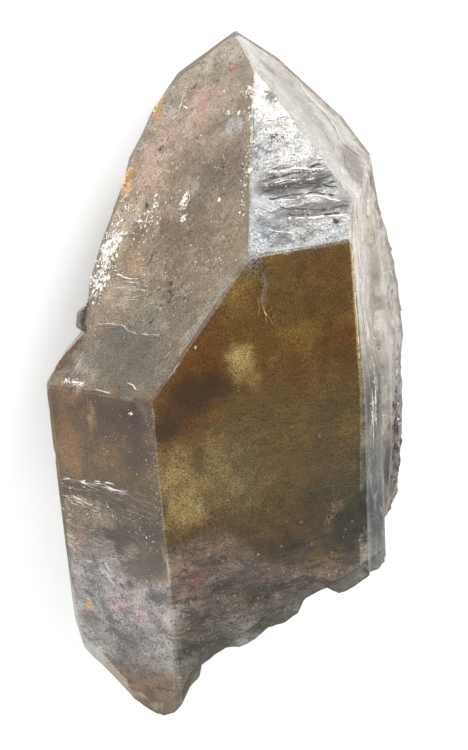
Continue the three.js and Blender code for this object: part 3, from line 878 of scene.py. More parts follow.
@dataclass
class SmokeCloud:
    """The mineral dust inside the quartz: a lumpy body close under the faces, clear rims around it."""

    form: CrystalForm
    skin: "QuartzSkin"
    name: str = "smoke_cloud"
    top: float = 53.2
    lump: float = 0.2
    inset: Inset = field(default_factory=lambda: Inset(
        left=((-60, 1.2), (-30, 0.9), (0, 0.9), (6, 0.6), (52, 0.6)),
        front=((-60, 1.8), (-40, 1.4), (-28, 1.1), (18, 1.0), (24, 1.0), (40, 1.0), (52, 0.6)),
        right=((-60, 1.8), (-34, 1.8), (-24, 1.5), (-14, 1.2), (20, 0.8), (52, 0.6)),
        back_right=((-60, 3.0), (20, 1.6), (40, 1.0), (52, 0.6)),
        back=((-60, 3.0), (40, 2.0), (52, 0.6)),
        back_left=((-60, 0.8), (-2, 0.9), (4, 0.6), (52, 0.6)),
    ))

    def build(self, maker: MeshMaker, material: bpy.types.Material) -> bpy.types.Object:
        """Builds the cloud.

        Args:
            maker: Makes the mesh.
            material: The dust's material.

        Returns:
            The piece.
        """
        fineness = Fineness(
            columns={Side.LEFT: 60, Side.FRONT: 84, Side.STRIP: 26, Side.RISER: 2,
                     Side.OVERGROWTH: 8, Side.BACK_RIGHT: 18, Side.BACK: 16, Side.BACK_LEFT: 18},
            pitch=0.4, fine_pitch=0.4, fine_from=20, fine_to=46, rim_rings=50, break_rings=16)
        shell = ShellBuilder(self.form, self.inset, fineness, self.top, 1.8, 0.9).build()
        colours = self.colours(shell)
        angle = np.array([ANGLE[s] for s in Side])[shell.side]
        fade = np.minimum(1, shell.from_edge / 1.2)
        push = self.lump * grain(shell.x, shell.c, shell.z, 3.2, 41) * fade + self.skin.relief(shell)
        push = np.where(shell.zone == Zone.BREAK, 0, push)
        shell.x = shell.x + push * np.sin(angle)
        shell.z = shell.z + push * np.cos(angle)
        rise = 0.8 * grain(shell.x, shell.z, shell.x * 0, 3.0, 47) * fade
        shell.c = shell.c + np.where(shell.zone == Zone.BREAK, rise, 0)
        return maker.piece(self.name, shell.place(), shell.triangles(), material, "inclusions",
                           {"dust": shell.spread(colours),
                            "speckle": shell.spread(QuartzSkin.speckle(shell)),
                            "threaded": shell.spread(self.threaded(shell))}, crease=60)

    @staticmethod
    def threaded(shell: Shell) -> Array:
        """How strongly dark threads run through the dust: most in the low cloud."""
        tip = (shell.zone == Zone.TIP) & (shell.side == Side.LEFT)
        amount = np.where(tip, 0.1 + 0.25 * smooth(8, 15, shell.c), 0.1)
        return np.maximum(amount, 0.9 * smooth(-23, -31, shell.c))

    def colours(self, shell: Shell) -> Array:
        """Colours of the dust: a ground colour for each face, the pale cloud low down, then patches."""
        ground = np.zeros(shell.x.shape + (3,))
        by_side = {Side.LEFT: OLIVE, Side.FRONT: BROWN, Side.STRIP: PALE, Side.RISER: PALE,
                   Side.OVERGROWTH: PALE, Side.BACK_RIGHT: BEIGE, Side.BACK: STONE,
                   Side.BACK_LEFT: GREY}
        for side, colour in by_side.items():
            ground[shell.side == side] = daylight(colour)
        # The front tip face's silver ground is painted reflection of the light that it mirrors.
        tip = {Side.LEFT: BEIGE, Side.FRONT: SILVER}
        for side, colour in tip.items():
            ground[(shell.side == side) & (shell.zone == Zone.TIP)] = daylight(colour)
        ground[shell.zone == Zone.BREAK] = daylight(PINK_GREY)
        ground = self.drift(ground, shell)
        ground = self.low_cloud(ground, shell)
        ground = paint(ground, shell, listed(ColourPatch, STAINS_AND_PAINTED_LIGHT), 1.6)
        return np.clip(ground * self.streaks(shell)[..., None], 0, 0.9)

    @staticmethod
    def drift(ground: Array, shell: Shell) -> Array:
        """Broad, cloudy changes of colour within each face: grain picks how far a second colour shows."""
        x, c, z = shell.x, shell.c, shell.z
        tip = shell.zone == Zone.TIP
        left, front = shell.side == Side.LEFT, shell.side == Side.FRONT
        layers = (
            (front & ~tip, GOLD, 9.0, 331, 0.15, 0.35), (front & ~tip, DARK_OLIVE, 6.0, 333, 0.0, 0.5),
            (front & ~tip, RED_BROWN, 7.0, 335, 0.1, 0.4),
            (left & ~tip, PURPLE_BROWN, 7.0, 337, 0.0, 0.6), (left & ~tip, GREY, 5.0, 339, 0.2, 0.5),
            (left & tip, STONE, 6.0, 341, 0.0, 0.6), (left & tip, PINK, 6.5, 343, 0.15, 0.5),
            (left & tip, WHITE, 2.2, 345, 0.25, 0.45), (left & tip, OLIVE, 4.0, 347, 0.1, 0.6),
            (front & tip, STONE, 2.6, 349, 0.1, 0.7), (front & tip, GREY, 5.0, 351, 0.0, 0.5),
            (~left & ~front, PINK, 4.0, 353, 0.1, 0.5), (~left & ~front, GREY, 2.6, 355, 0.1, 0.6),
        )
        for there, colour, size, seed, start, most in layers:
            share = np.zeros(x.shape)
            share[there] = smooth(start, start + 0.5, grain(x[there], c[there], z[there], size, seed))
            share = share[..., None]
            ground = ground * (1 - most * share) + daylight(colour) * most * share
        return ground

    @staticmethod
    def streaks(shell: Shell) -> Array:
        """Light and dark of the dust: fine clots everywhere, and drawn-out threads in the low cloud."""
        x, c, z = shell.x, shell.c, shell.z
        clots = grain(x, c, z, 1.3, 361, 2)
        threads = grain(x * 0.35 + c * 0.2, c - x * 0.12, z * 0.35, 1.2, 363)
        low = smooth(-22, -32, c)
        return 1 + (0.18 + 0.12 * low) * clots + 0.42 * low * threads

    def low_cloud(self, ground: Array, shell: Shell) -> Array:
        """The pinkish grey cloud that fills the crystal's foot up to a wavy line."""
        wave = grain(shell.x, shell.c * 0.3, shell.z, 4.0, 61)
        line = {
            Side.FRONT: ((0, -25.5), (3, -25.6), (9.4, -24.3), (12, -25.2), (15.4, -29.1),
                         (17.4, -31.6), (21.5, -33.2), (28, -34.1), (31, -34.4), (38, -35)),
            Side.LEFT: ((-25, -20.5), (-17, -21.5), (-12.4, -27), (-10.4, -32.4), (-6, -33.4),
                        (-2, -32.4), (0, -32)),
        }
        shade = {Side.FRONT: PINK_GREY, Side.LEFT: (190, 182, 178)}
        for side, profile in line.items():
            top = along(profile, shell.q) + 0.8 * wave
            share = smooth(0.9, -1.5, shell.c - top)
            share = np.where((shell.side == side) & (shell.zone == Zone.PRISM), share, 0)[..., None]
            ground = ground * (1 - share) + daylight(shade[side]) * share
        return ground


@dataclass(frozen=True)
class Dent:
    """A shallow dent or chip: its side, place, radius and depth."""

    side: Side
    q: float
    c: float
    radius: float
    depth: float


DENTS = (
    Dent(Side.LEFT, -11.5, 9, 3.4, 0.5), Dent(Side.LEFT, -17, 14, 3.0, 0.6),
    Dent(Side.LEFT, -13.5, 22, 3.6, 0.55), Dent(Side.LEFT, -20, 26.5, 2.8, 0.6),
    Dent(Side.LEFT, -12.2, 33, 3.2, 0.5), Dent(Side.LEFT, -16.5, 39, 3.0, 0.5),
    Dent(Side.LEFT, -4.5, 5.5, 3.8, 0.35), Dent(Side.LEFT, -9, -25, 4.6, 0.35),
    Dent(Side.LEFT, -3.4, -2.4, 2.2, 0.5), Dent(Side.FRONT, 22.5, 38.6, 2.6, 1.1),
    Dent(Side.FRONT, 27, -34, 4.4, 0.5), Dent(Side.FRONT, 9, -37, 4.8, 0.45),
    Dent(Side.STRIP, 24.5, -27, 3.4, 0.7),
)

LEDGES = ((23.2, 0.3), (25.4, 0.45), (27.9, 0.7), (30.3, 0.5), (33.4, 0.8), (36.4, 0.35), (40.2, 0.3))


# Point that each side gives the light that passes or scatters at it: height, red, green, blue
MILKY = (0.74, 0.73, 0.69)
TINTS = {
    Side.LEFT: (
        (-55, 0.31, 0.20, 0.10), (-50, 0.37, 0.29, 0.19), (-47, 0.60, 0.61, 0.60), (-40, 0.85, 0.84, 0.84),
        (-32, 0.82, 0.80, 0.80), (-28, 0.50, 0.45, 0.38), (-25, 0.36, 0.31, 0.225), (-19, 0.31, 0.25, 0.16),
        (-14, 0.49, 0.355, 0.16), (-3, 0.36, 0.205, 0.055), (0.4, 0.37, 0.225, 0.075),
        (0.6, 0.43, 0.38, 0.30), (8, 0.425, 0.38, 0.30), (11, 0.56, 0.52, 0.43), (24, 0.59, 0.52, 0.395),
        (38, 0.78, 0.72, 0.635), (54, 0.80, 0.80, 0.73),
    ),
    Side.FRONT: (
        (-52, 0.51, 0.53, 0.52), (-38, 0.54, 0.54, 0.50), (-31, 0.49, 0.45, 0.41),
        (-26, 0.42, 0.385, 0.295), (-14, 0.50, 0.445, 0.31), (-4, 0.49, 0.41, 0.24),
        (6, 0.485, 0.335, 0.125), (21.5, 0.50, 0.40, 0.205), (21.8, 0.60, 0.615, 0.62),
        (30, 0.88, 0.88, 0.87), (37, 0.96, 0.98, 0.98), (54, 0.98, 0.98, 0.98),
    ),
    Side.STRIP: (
        (-40, 0.22, 0.245, 0.24), (-18, 0.20, 0.21, 0.20), (-4, 0.20, 0.17, 0.12), (4, 0.46, 0.44, 0.40),
        (12, 0.81, 0.80, 0.775), (27, 0.81, 0.80, 0.775), (29, 0.60, 0.60, 0.60), (54, 0.64, 0.66, 0.66),
    ),
    Side.OVERGROWTH: (
        (-40, 0.245, 0.21, 0.19), (-20, 0.34, 0.31, 0.29), (-6, 0.62, 0.62, 0.62), (12, 0.73, 0.73, 0.71),
        (54, 0.73, 0.73, 0.71),
    ),
}


@dataclass
class QuartzSkin:
    """The crystal's surface: every face with its own relief, tint, satin and pitting."""

    form: CrystalForm
    name: str = "quartz_skin"

    def build(self, maker: MeshMaker, material: bpy.types.Material) -> bpy.types.Object:
        """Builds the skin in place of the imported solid.

        Args:
            maker: Makes the mesh.
            material: The quartz.

        Returns:
            The piece.
        """
        fineness = Fineness(
            columns={Side.LEFT: 56, Side.FRONT: 74, Side.STRIP: 60, Side.RISER: 2,
                     Side.OVERGROWTH: 16, Side.BACK_RIGHT: 26, Side.BACK: 14, Side.BACK_LEFT: 22},
            pitch=0.45, fine_pitch=0.28, fine_from=21, fine_to=47, rim_rings=44, break_rings=30)
        top = self.form.tip[1] - self.form.tip_chip
        shell = ShellBuilder(self.form, Inset(), fineness, top, 0.0, 0.45).build()
        wear_and_edge_highlight = self.wear_and_edge_highlight(shell)
        out = self.relief(shell) - wear_and_edge_highlight
        angle = np.array([ANGLE[s] for s in Side])[shell.side]
        broken = shell.zone == Zone.BREAK
        shell.x = shell.x + np.where(broken, 0, out * np.sin(angle))
        shell.z = shell.z + np.where(broken, 0, out * np.cos(angle))
        shell.c = shell.c + np.where(broken, self.break_relief(shell), 0)
        attributes = {
            "tint": shell.spread(self.tint(shell)),
            "satin": shell.spread(self.satin(shell)),
            "pitting": shell.spread(self.pitting(shell)),
            "speckle": shell.spread(self.speckle(shell)),
            "wrinkled": shell.spread(self.wrinkled(shell)),
            # The same amount paints a highlight: the quartz's colour turns whitish along the rounded edges.
            "wear_and_edge_highlight": shell.spread(np.clip(wear_and_edge_highlight / 0.1, 0, 1)),
        }
        skin = maker.piece(self.name, shell.place(), shell.triangles(), material, "quartz",
                           attributes, crease=24)
        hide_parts(NODE)
        return skin

    def wear_and_edge_highlight(self, shell: Shell) -> Array:
        """How far the edges are rounded in: w (1 - d / 2.2 w)^2 at distance d, with w chipped by grain."""
        chip = smooth(0.35, 0.8, grain(shell.x, shell.c, shell.z, 2.4, 71))
        width = 0.07 + 0.05 * grain(shell.x, shell.c, shell.z, 6.0, 72) + 0.16 * chip
        width = np.maximum(width, 0.03)
        fold = np.array([self.form.fold(s) for s in Side])[shell.side]
        near = np.minimum(shell.from_edge, np.abs(shell.c - fold) * 0.8)
        near = np.where(shell.zone == Zone.BREAK, 9, near)
        inside = np.isin(shell.side, (Side.RISER,))
        return np.where(inside, 0, width * np.maximum(0, 1 - near / (2.2 * width)) ** 2)

    def relief(self, shell: Shell) -> Array:
        """Relief outwards from the flat faces, faded out at each side's upright edges."""
        side, q, c = shell.side, shell.q, shell.c
        x, z = shell.x, shell.z
        out = np.zeros(x.shape)
        for dent in DENTS:
            far = np.hypot(q - dent.q, c - dent.c) / dent.radius
            out = out - np.where((side == dent.side) & (far < 1), dent.depth * (1 - far**2), 0)
        tip = shell.zone == Zone.TIP
        waves = 0.5 * np.sin(0.9 * c + 0.8 * q) * np.sin(0.55 * c - 1.1 * q)
        blocks = self.blocks(q, c, 2.6, 0.35)
        small = self.blocks(q * 1.3, c * 0.7, 1.1, 0.3)
        out = out + np.where(side == Side.OVERGROWTH, waves + blocks + small, 0)
        bulge = 1.2 * np.sin(np.pi * np.clip((q - 19) / 15.5, 0, 1))
        bent = q + 0.5 * np.sin(0.25 * c) + 0.6 * grain(q * 0.3, c * 0.2, q * 0, 2.0, 96, 1)
        ribs = 0.5 * np.abs((bent / 2.6) % 1 - 0.5) * 2
        out = out + np.where((side == Side.STRIP) & ~tip, (bulge + ribs) * smooth(10, -6, c), 0)
        waves = 0.55 * np.sin(0.62 * c - 0.3 * q) * np.sin(0.4 * q + 0.2 * c)
        out = out + np.where(side == Side.BACK_RIGHT, waves + blocks, 0)
        steps = 0.35 * np.sin(0.7 * c + 0.35 * q) + 0.6 * self.blocks(q, c * 1.6, 3.0, 0.3)
        out = out + np.where(side == Side.BACK_LEFT, steps, 0)
        out = out * np.minimum(1, shell.from_edge / 2)

        fade = np.minimum(1, shell.from_edge / 0.5)
        lines = grain(q * 0.06, c, q * 0.06 + 3, 0.9, 81, 2) * smooth(-0.2, 0.5, grain(x, c, z, 9, 82, 1))
        fine = np.where((side == Side.FRONT) & ~tip, 0.02 * lines, 0)
        fine = fine + np.where((side == Side.LEFT) & ~tip, 0.03 * lines + self.scars(q, c), 0)
        fine = fine + np.where((side == Side.STRIP) & ~tip, 0.05 * lines, 0)
        fine = fine + np.where((side == Side.LEFT) & tip, self.frosting(x, c, z, q), 0)
        fine = fine + np.where((side == Side.FRONT) & tip, self.steps(q, c), 0)
        fine = fine + np.where((side == Side.STRIP) & tip, self.ridges(q, c), 0)
        return out + fine * fade

    @staticmethod
    def blocks(q: Array, c: Array, size: float, height: float) -> Array:
        """Small flat-topped growth blocks: each scattered cell stands at its own height."""
        _, mark = nearest_cell(q, c, size, 31)
        return height * (mark - 0.5)

    @staticmethod
    def frosting(x: Array, c: Array, z: Array, q: Array) -> Array:
        """The frosted tip face: low hillocks and scattered pits, calmer near its foot."""
        rough = smooth(9, 14, c + 1.5 * grain(x, c, z, 6, 51, 1))
        hills = 0.10 * grain(x, c, z, 2.2, 52) + 0.05 * grain(x, c, z, 0.9, 53, 2)
        far, mark = nearest_cell(q, c, 2.1, 54)
        pits = -0.16 * smooth(0.42, 0.12, far) * (mark > 0.45)
        calm = 0.05 * grain(x, c, z, 5, 55, 2)
        return rough * (hills + pits) + calm

    @staticmethod
    def steps(q: Array, c: Array) -> Array:
        """The stepped tip face: wavy ledges, each standing out at its foot, and fine wrinkles."""
        wave = 0.9 * grain(q, q * 0, c * 0.4, 7, 56, 2) + 0.05 * (q - 30)
        level = c - wave
        out = np.zeros(q.shape)
        bottom = LEDGES[0][0] - 2
        for top, tread in LEDGES:
            rise = tread * (level - bottom) / (top - bottom)
            out = out + np.where((level <= top) & (level > bottom), rise, 0)
            bottom = top
        crumple = 0.04 * grain(q * 0.6, c, q * 0, 0.9, 66, 2) * smooth(21.3, 22.3, c)
        busy = smooth(41, 36, c) * smooth(21.2, 23, c)
        wrinkles = grain(q * 0.22, level, q * 0.1, 1.3, 57, 2)
        diagonal = grain((q + c) * 0.25, (c - 0.8 * q) * 0.9, q * 0, 1.2, 58, 2) * smooth(31, 26, c)
        return 0.75 * out + crumple + busy * (0.12 * wrinkles + 0.10 * diagonal)

    @staticmethod
    def ridges(q: Array, c: Array) -> Array:
        """The right tip face: long low ridges that run down beside its front edge."""
        across = q * 0.62 + c * 0.72
        return 0.10 * grain(across, c * 0.08, c * 0, 1.6, 59, 2)

    @staticmethod
    def scars(q: Array, c: Array) -> Array:
        """Curved scars across the left face: each drops sharply and eases back below."""
        out = np.zeros(q.shape)
        scars = (
            (-26, -5, -15.6, -18.6, 0.5, 0.10), (-26, -12, -18.6, -21.2, 0.7, 0.12),
            (-11, -1, -16.6, -19.2, -0.4, 0.07), (-9.5, -1, -20.0, -20.4, 0.2, 0.06),
            (-16, -4, -24.6, -28.6, 0.9, 0.09), (-24, -12, -31.5, -38, 0.8, 0.12),
            (-23, -9, -46, -51.5, 1.0, 0.14), (-21, -11, -49, -53, 0.8, 0.10),
        )
        for q0, q1, c0, c1, bow, depth in scars:
            t = (q - q0) / (q1 - q0)
            line = c0 + (c1 - c0) * t + bow * np.sin(np.pi * np.clip(t, 0, 1))
            below = line - c
            inside = smooth(0, 0.12, t) * smooth(1, 0.88, t)
            out = out - depth * inside * smooth(-0.1, 0.12, below) * smooth(2.2, 0.1, below)
        return out

    @staticmethod
    def break_relief(shell: Shell) -> Array:
        """Relief of the break: ripples like those in a shell, and fine grain, still at the rim."""
        x, z = shell.x, shell.z
        rings = np.sin(2 * np.pi * (np.hypot(x + 8, z + 2) + 1.2 * grain(x, z, z * 0, 7, 62, 1)) / 2.7)
        fade = np.minimum(1, shell.from_edge / 1.5)
        return fade * (0.12 * rings + 0.12 * grain(x, z, x * 0, 1.8, 63) + 0.3 * grain(x, z, x * 0, 6, 64))

    @staticmethod
    def tint(shell: Shell) -> Array:
        """Point that each face gives the light that passes or scatters at it, by height."""
        colours = np.zeros(shell.x.shape + (3,)) + np.array(MILKY)
        for side, steps in TINTS.items():
            heights, *channels = np.transpose(steps)
            shade = np.stack([np.interp(shell.c, heights, channel) for channel in channels], axis=-1)
            colours = np.where((shell.side == side)[..., None], shade, colours)
        paler = 1 + 0.26 * smooth(-9, -20, shell.q)
        on_tip = (shell.side == Side.LEFT) & (shell.zone == Zone.TIP)
        colours = np.where(on_tip[..., None], np.minimum(colours * paler[..., None], 0.95), colours)
        broken = np.array((0.60, 0.62, 0.59)) - 0.24 * smooth(6, 26, shell.x)[..., None]
        colours = np.where((shell.zone == Zone.BREAK)[..., None], broken, colours)
        return colours

    @staticmethod
    def speckle(shell: Shell) -> Array:
        """How speckled each face is: hardly on the front, strongly on the left tip face and low down."""
        amount = np.array((0.15, 0.0, 0.3, 0.4, 0.6, 0.5, 0.4, 0.5))[shell.side]
        amount = np.maximum(amount, 0.8 * smooth(-22, -31, shell.c))
        tip = shell.zone == Zone.TIP
        amount = np.where(tip & (shell.side == Side.LEFT), 0.25 + 0.75 * smooth(8, 15, shell.c), amount)
        amount = np.where(tip & (shell.side == Side.FRONT), 0.4, amount)
        return np.where(shell.zone == Zone.BREAK, 0.3, amount)

    @staticmethod
    def wrinkled(shell: Shell) -> Array:
        """How strongly each face is wrinkled: the stepped tip face most, less near its top."""
        steps = (shell.side == Side.FRONT) & (shell.zone == Zone.TIP)
        amount = np.where(steps, 0.5 + 2.2 * smooth(42, 36, shell.c), 0.0)
        return np.where(np.isin(shell.side, (Side.OVERGROWTH, Side.BACK_RIGHT)), 1.2, amount)

    @staticmethod
    def satin(shell: Shell) -> Array:
        """Roughness of each face; the brown band across the stepped face is duller than the rest."""
        rough = np.array((0.12, 0.11, 0.26, 0.3, 0.4, 0.34, 0.25, 0.3))[shell.side]
        tip = shell.zone == Zone.TIP
        rough = np.where(tip & (shell.side == Side.LEFT), 0.22, rough)
        wave = 0.9 * grain(shell.q, shell.q * 0, shell.c * 0.4, 7, 56, 2) + 0.05 * (shell.q - 30)
        fray = 0.5 * grain(shell.q * 0.4, shell.c, shell.q * 0, 1.4, 91)
        level = shell.c - wave + fray
        band = smooth(29.0, 30.2, level) * smooth(33.6, 32.6, level)
        band = np.maximum(band, 0.7 * smooth(26.0, 26.6, level) * smooth(28.0, 27.4, level))
        rough = np.where(tip & (shell.side == Side.FRONT), 0.12 + 0.34 * band, rough)
        return np.where(shell.zone == Zone.BREAK, 0.22, rough)

    @staticmethod
    def pitting(shell: Shell) -> Array:
        """How strongly each face is pitted in the fine bump."""
        pits = np.array((0.12, 0.06, 0.25, 0.4, 0.5, 0.5, 0.2, 0.4))[shell.side]
        tip = shell.zone == Zone.TIP
        calm = smooth(8, 14, shell.c)
        pits = np.where(tip & (shell.side == Side.LEFT), 0.2 + 0.35 * calm, pits)
        pits = np.where(tip & (shell.side == Side.FRONT), 0.5, pits)
        pits = np.where(shell.side == Side.STRIP, pits + 0.8 * smooth(-2, -12, shell.c), pits)
        return np.where(shell.zone == Zone.BREAK, 0.4, pits)


@dataclass(frozen=True)
class Grains:
    """A field of small grains strewn along a route on one side, which lists q and c in turn.

    The spread is how far they stray from the route, the size their middle radius, and the depth how
    far under the skin they lie; a grain of negative depth stands on the skin.
    """

    side: Side
    route: Tuple[float, ...]
    spread: float
    count: int
    size: float
    colour: Shown
    depth: float = -0.02


@dataclass(frozen=True)
class Vein:
    """A thin line along a route on one side; broken is the share of it that is missing."""

    side: Side
    route: Tuple[float, ...]
    width: float
    colour: Shown
    broken: float = 0.0
    wander: float = 0.15
    depth: float = -0.02


@dataclass(frozen=True)
class Hatch:
    """Many short thin strokes strewn along a route on one side, all running much the same way.

    The way is an angle in degrees from straight across the side, and the slant is how far they stray.
    """

    side: Side
    route: Tuple[float, ...]
    spread: float
    count: int
    length: float
    width: float
    colour: Shown
    way: float = 0.0
    slant: float = 6.0
    depth: float = -0.01


# Pale grains, as crusts, with painted sparkles on the stepped tip face and painted highlights along worn
# edges: route, spread, count, size, colour, depth
CRUSTS_AND_GLINTS: Rows = ((Side.LEFT, (
    ((-20.4, 23.2, -21.8, 20.8, -20.8, 19), 1.8, 300, 0.2, WHITE),
    ((-21.6, 18, -20.4, 14), 1.6, 160, 0.18, WHITE), ((-14, 27.4, -17.2, 24.8), 2.4, 110, 0.16, WHITE),
    ((-8.8, 29.6, -8.7, 28.2), 0.7, 40, 0.22, WHITE), ((-7.5, 26.9, -7.4, 26.2), 0.5, 14, 0.2, WHITE),
    ((-6.3, 42.4, -6, 42.2), 0.3, 5, 0.22, CREAM), ((-3.9, 42.6, -3.7, 42.4), 0.3, 4, 0.22, CREAM),
    ((-4.4, 46.4, -2.2, 45.6), 1, 34, 0.15, CREAM), ((-9.2, 45.4, -8.8, 45.2), 0.5, 5, 0.16, CREAM),
    ((-3.2, 46, 1, 39, 2.2, 33, 4.8, 28), 0.9, 130, 0.12, CREAM),
    ((2.8, 34.4, 2.9, 34.2), 0.25, 4, 0.26, CREAM), ((-1.3, 29.5, -1.2, 29.4), 0.25, 4, 0.22, CREAM),
    ((-9, 44, -3, 36, 0, 28, -6, 20), 7, 180, 0.09, DULL),
    ((-18, 34, -16, 20, -12, 12), 8, 340, 0.09, CREAM), ((0.5, 18, 4.5, 23), 3, 80, 0.1, DULL),
    ((-4, 14, 2, 20), 5, 110, 0.1, DULL), ((-0.7, -3, -1.2, -14, -1, -22), 1.7, 520, 0.08, (150, 142, 132)),
    ((-17.8, -16.2, -17.6, -16.4), 0.5, 16, 0.2, WHITE), ((-5.4, -1.9, -5.3, -2.7), 0.3, 9, 0.16, WHITE),
    ((-20, -4, -6, -8, -12, -14), 7, 220, 0.07, (190, 176, 160)),
    ((-22, -19, -8, -22, -2, -26), 3, 160, 0.09, WHITE),
    ((-20, -30, -12, -40, -8, -50), 7, 260, 0.12, WHITE, 0.3),
    # White grains along the edge to the tip face: painted highlight.
    ((-21.4, 1, -16.1, 1.4), 0.5, 60, 0.12, WHITE),
)), (Side.FRONT, (
    ((29.4, -11, 29.4, -11.3), 0.3, 8, 0.11, (214, 204, 190), 0.05),
    ((20.5, -8.2, 25.5, -10.2), 3, 9, 0.13, GOLD, 0.2), ((8.5, 8.2, 8.5, 8), 0.12, 3, 0.2, CREAM, 0.05),
    ((5, -15, 9, -22), 4, 130, 0.1, (190, 172, 120), 0.5),
    ((31.2, -24.2, 29.8, -27), 1, 70, 0.14, PINK, 0.3),
    # White grains on the stepped tip face are painted sparkles; those along the right edge are a painted
    # highlight.
    ((16.2, 3.6, 17.4, 0), 2, 60, 0.12, (222, 200, 150), 0.5), ((29, 26, 31, 40), 3, 120, 0.11, WHITE),
    ((25, 32.6, 38, 33.6), 1.4, 90, 0.1, WHITE), ((38, 20.5, 37.8, 2), 0.15, 50, 0.07, WHITE),
    ((2, -30, 18, -38), 6, 260, 0.11, PINK, 0.3),
)), (Side.STRIP, (
    ((25, 22, 24.6, 0, 22, -12), 1.4, 160, 0.11, WHITE), ((30, 22, 30, 0), 3, 160, 0.12, WHITE),
)), (Side.OVERGROWTH, (
    ((44, 18, 44, -14), 5, 150, 0.13, WHITE), ((46, -14, 45, -24), 3, 160, 0.14, WHITE),
)))

# Dark, brown and red grains
SPECKS: Rows = ((Side.LEFT, (
    ((-15.7, 45.9, -15.3, 46.3), 0.25, 8, 0.2, INK), ((-15.9, 45, -15.8, 44.8), 0.2, 3, 0.16, INK),
    ((-18.4, 36, -17.9, 36.6), 0.25, 7, 0.15, INK), ((-16.8, 27.9, -16.7, 27.6), 0.2, 4, 0.16, INK),
    ((-11.8, 20.8, -11.4, 19.8, -11.8, 19), 0.2, 9, 0.13, INK),
    ((-2.8, 31.2, -1.9, 35.7, 0.5, 37.1), 3.4, 200, 0.12, EARTH),
    ((-8, 30, -2, 26, 0, 22), 5, 220, 0.12, EARTH), ((-11, 26, -7, 22), 3, 80, 0.12, EARTH),
    ((-14, 44, -12, 30), 8, 110, 0.1, EARTH), ((-10, 40, -4, 28, 0, 14), 9, 110, 0.08, EARTH),
    ((-5.2, 15.1, -4.4, 16), 2, 30, 0.13, INK), ((-6.4, 11.4, -6, 11.1), 0.4, 7, 0.14, INK),
    ((-8, 14, 0, 16), 5, 130, 0.1, INK), ((-17, 36, -19, 40), 2, 40, 0.11, BRICK),
    ((-13, 43, -11, 44), 2, 50, 0.12, (206, 150, 140)),
    ((-9.6, 48.8, -8.2, 49.6), 0.9, 30, 0.14, (206, 140, 130)),
    ((-22.2, 12.6, -21.6, 10.6, -20.4, 8.8), 0.5, 90, 0.18, INK),
    ((-23.2, 2.4, -22.4, 4.8, -20.6, 7.4), 0.7, 130, 0.18, (112, 74, 52)),
    ((-22.2, 44.2, -22.9, 41.6), 0.5, 70, 0.14, (244, 198, 128)),
    ((-23.7, 32.8, -23.6, 29.8), 0.5, 80, 0.14, (244, 198, 128)),
    ((-6.1, -20.2, -8.4, -20.6), 0.8, 30, 0.14, BRICK, 0.3),
    ((-7.4, -21.7, -7, -21.6), 0.5, 12, 0.14, INK, 0.2),
    ((-4.4, -34.8, -3.4, -36), 0.9, 80, 0.17, INK, 0.3),
    ((-1.3, -34.3, -1, -34.8), 0.5, 24, 0.15, INK, 0.3),
    ((-15.7, -37.5, -14.8, -43.7, -11.8, -45.2), 1.4, 150, 0.14, INK, 0.4),
    ((-20.6, -39.8, -21.2, -41), 0.5, 22, 0.13, (196, 136, 64), 0.1),
    ((-8, -3, -4, -9, -8, -14), 5, 320, 0.09, (60, 40, 28), 0.5),
    ((-15, -36, -8, -42, -12, -46), 5, 420, 0.11, (90, 88, 90), 0.3),
    ((-5.5, -36, -1, -34.6), 1.4, 70, 0.14, INK, 0.3),
    ((-18, -26, -10, -44), 6, 200, 0.11, (104, 104, 104), 0.4),
)), (Side.FRONT, (
    ((18.7, 19, 20.7, 20.2), 1, 18, 0.15, INK, 0.1),
    ((20.4, 21.8, 20.9, 19, 21.3, 16.2), 0.6, 30, 0.15, INK, 0.1),
    ((10.5, 12.9, 10.9, 13.4), 0.2, 6, 0.16, INK, 0),
    ((12, 3, 8, 0, 2, -5), 4.4, 900, 0.09, (50, 24, 8), 0.6),
    ((17, 3, 24, -2, 34, 4), 8, 300, 0.08, (70, 46, 22), 0.6),
    ((1.5, -44.8, 3.5, -44.4, 5.6, -43.4), 0.9, 110, 0.16, INK, 0.3),
    ((8, -35, 22, -37), 2, 200, 0.14, (84, 78, 66), 0.4), ((3, -38, 12, -43), 3, 70, 0.12, INK, 0.5),
    ((33, -25, 34, -34), 3, 140, 0.12, INK, 0.5), ((4, -31, 20, -35), 4, 110, 0.12, RED, 0.5),
    ((32.4, 45, 33.4, 44.4), 0.7, 70, 0.16, (140, 140, 132), 0),
    ((29.6, 38.6, 33, 38.2), 1.6, 60, 0.12, (86, 86, 82), 0),
    ((30.4, 41, 36, 37), 2.4, 60, 0.1, (120, 118, 112), 0),
    ((28.2, 33.1, 27.2, 30.9), 0.5, 8, 0.15, INK, 0), ((26, 31, 37, 31.6), 1, 200, 0.1, (84, 80, 72), 0),
    ((35.9, 24.8, 37.1, 25), 0.2, 12, 0.16, INK, 0),
)), (Side.STRIP, (
    ((43.1, 47.4, 42.8, 46.6), 0.5, 40, 0.17, (140, 84, 70), 0.05),
    ((32, 30, 31.6, 26), 1.6, 50, 0.12, (150, 126, 100), 0.1),
    ((24.5, -4, 24, -16), 2.4, 160, 0.12, (120, 104, 92), 0.1),
    ((20, -22, 17, -32), 3, 120, 0.12, (80, 80, 76), 0.2),
)), (Side.OVERGROWTH, (
    ((44, 6, 44, -18), 4, 120, 0.13, (140, 120, 110)), ((44, -18, 42, -30), 3, 300, 0.18, (86, 60, 54)),
)))
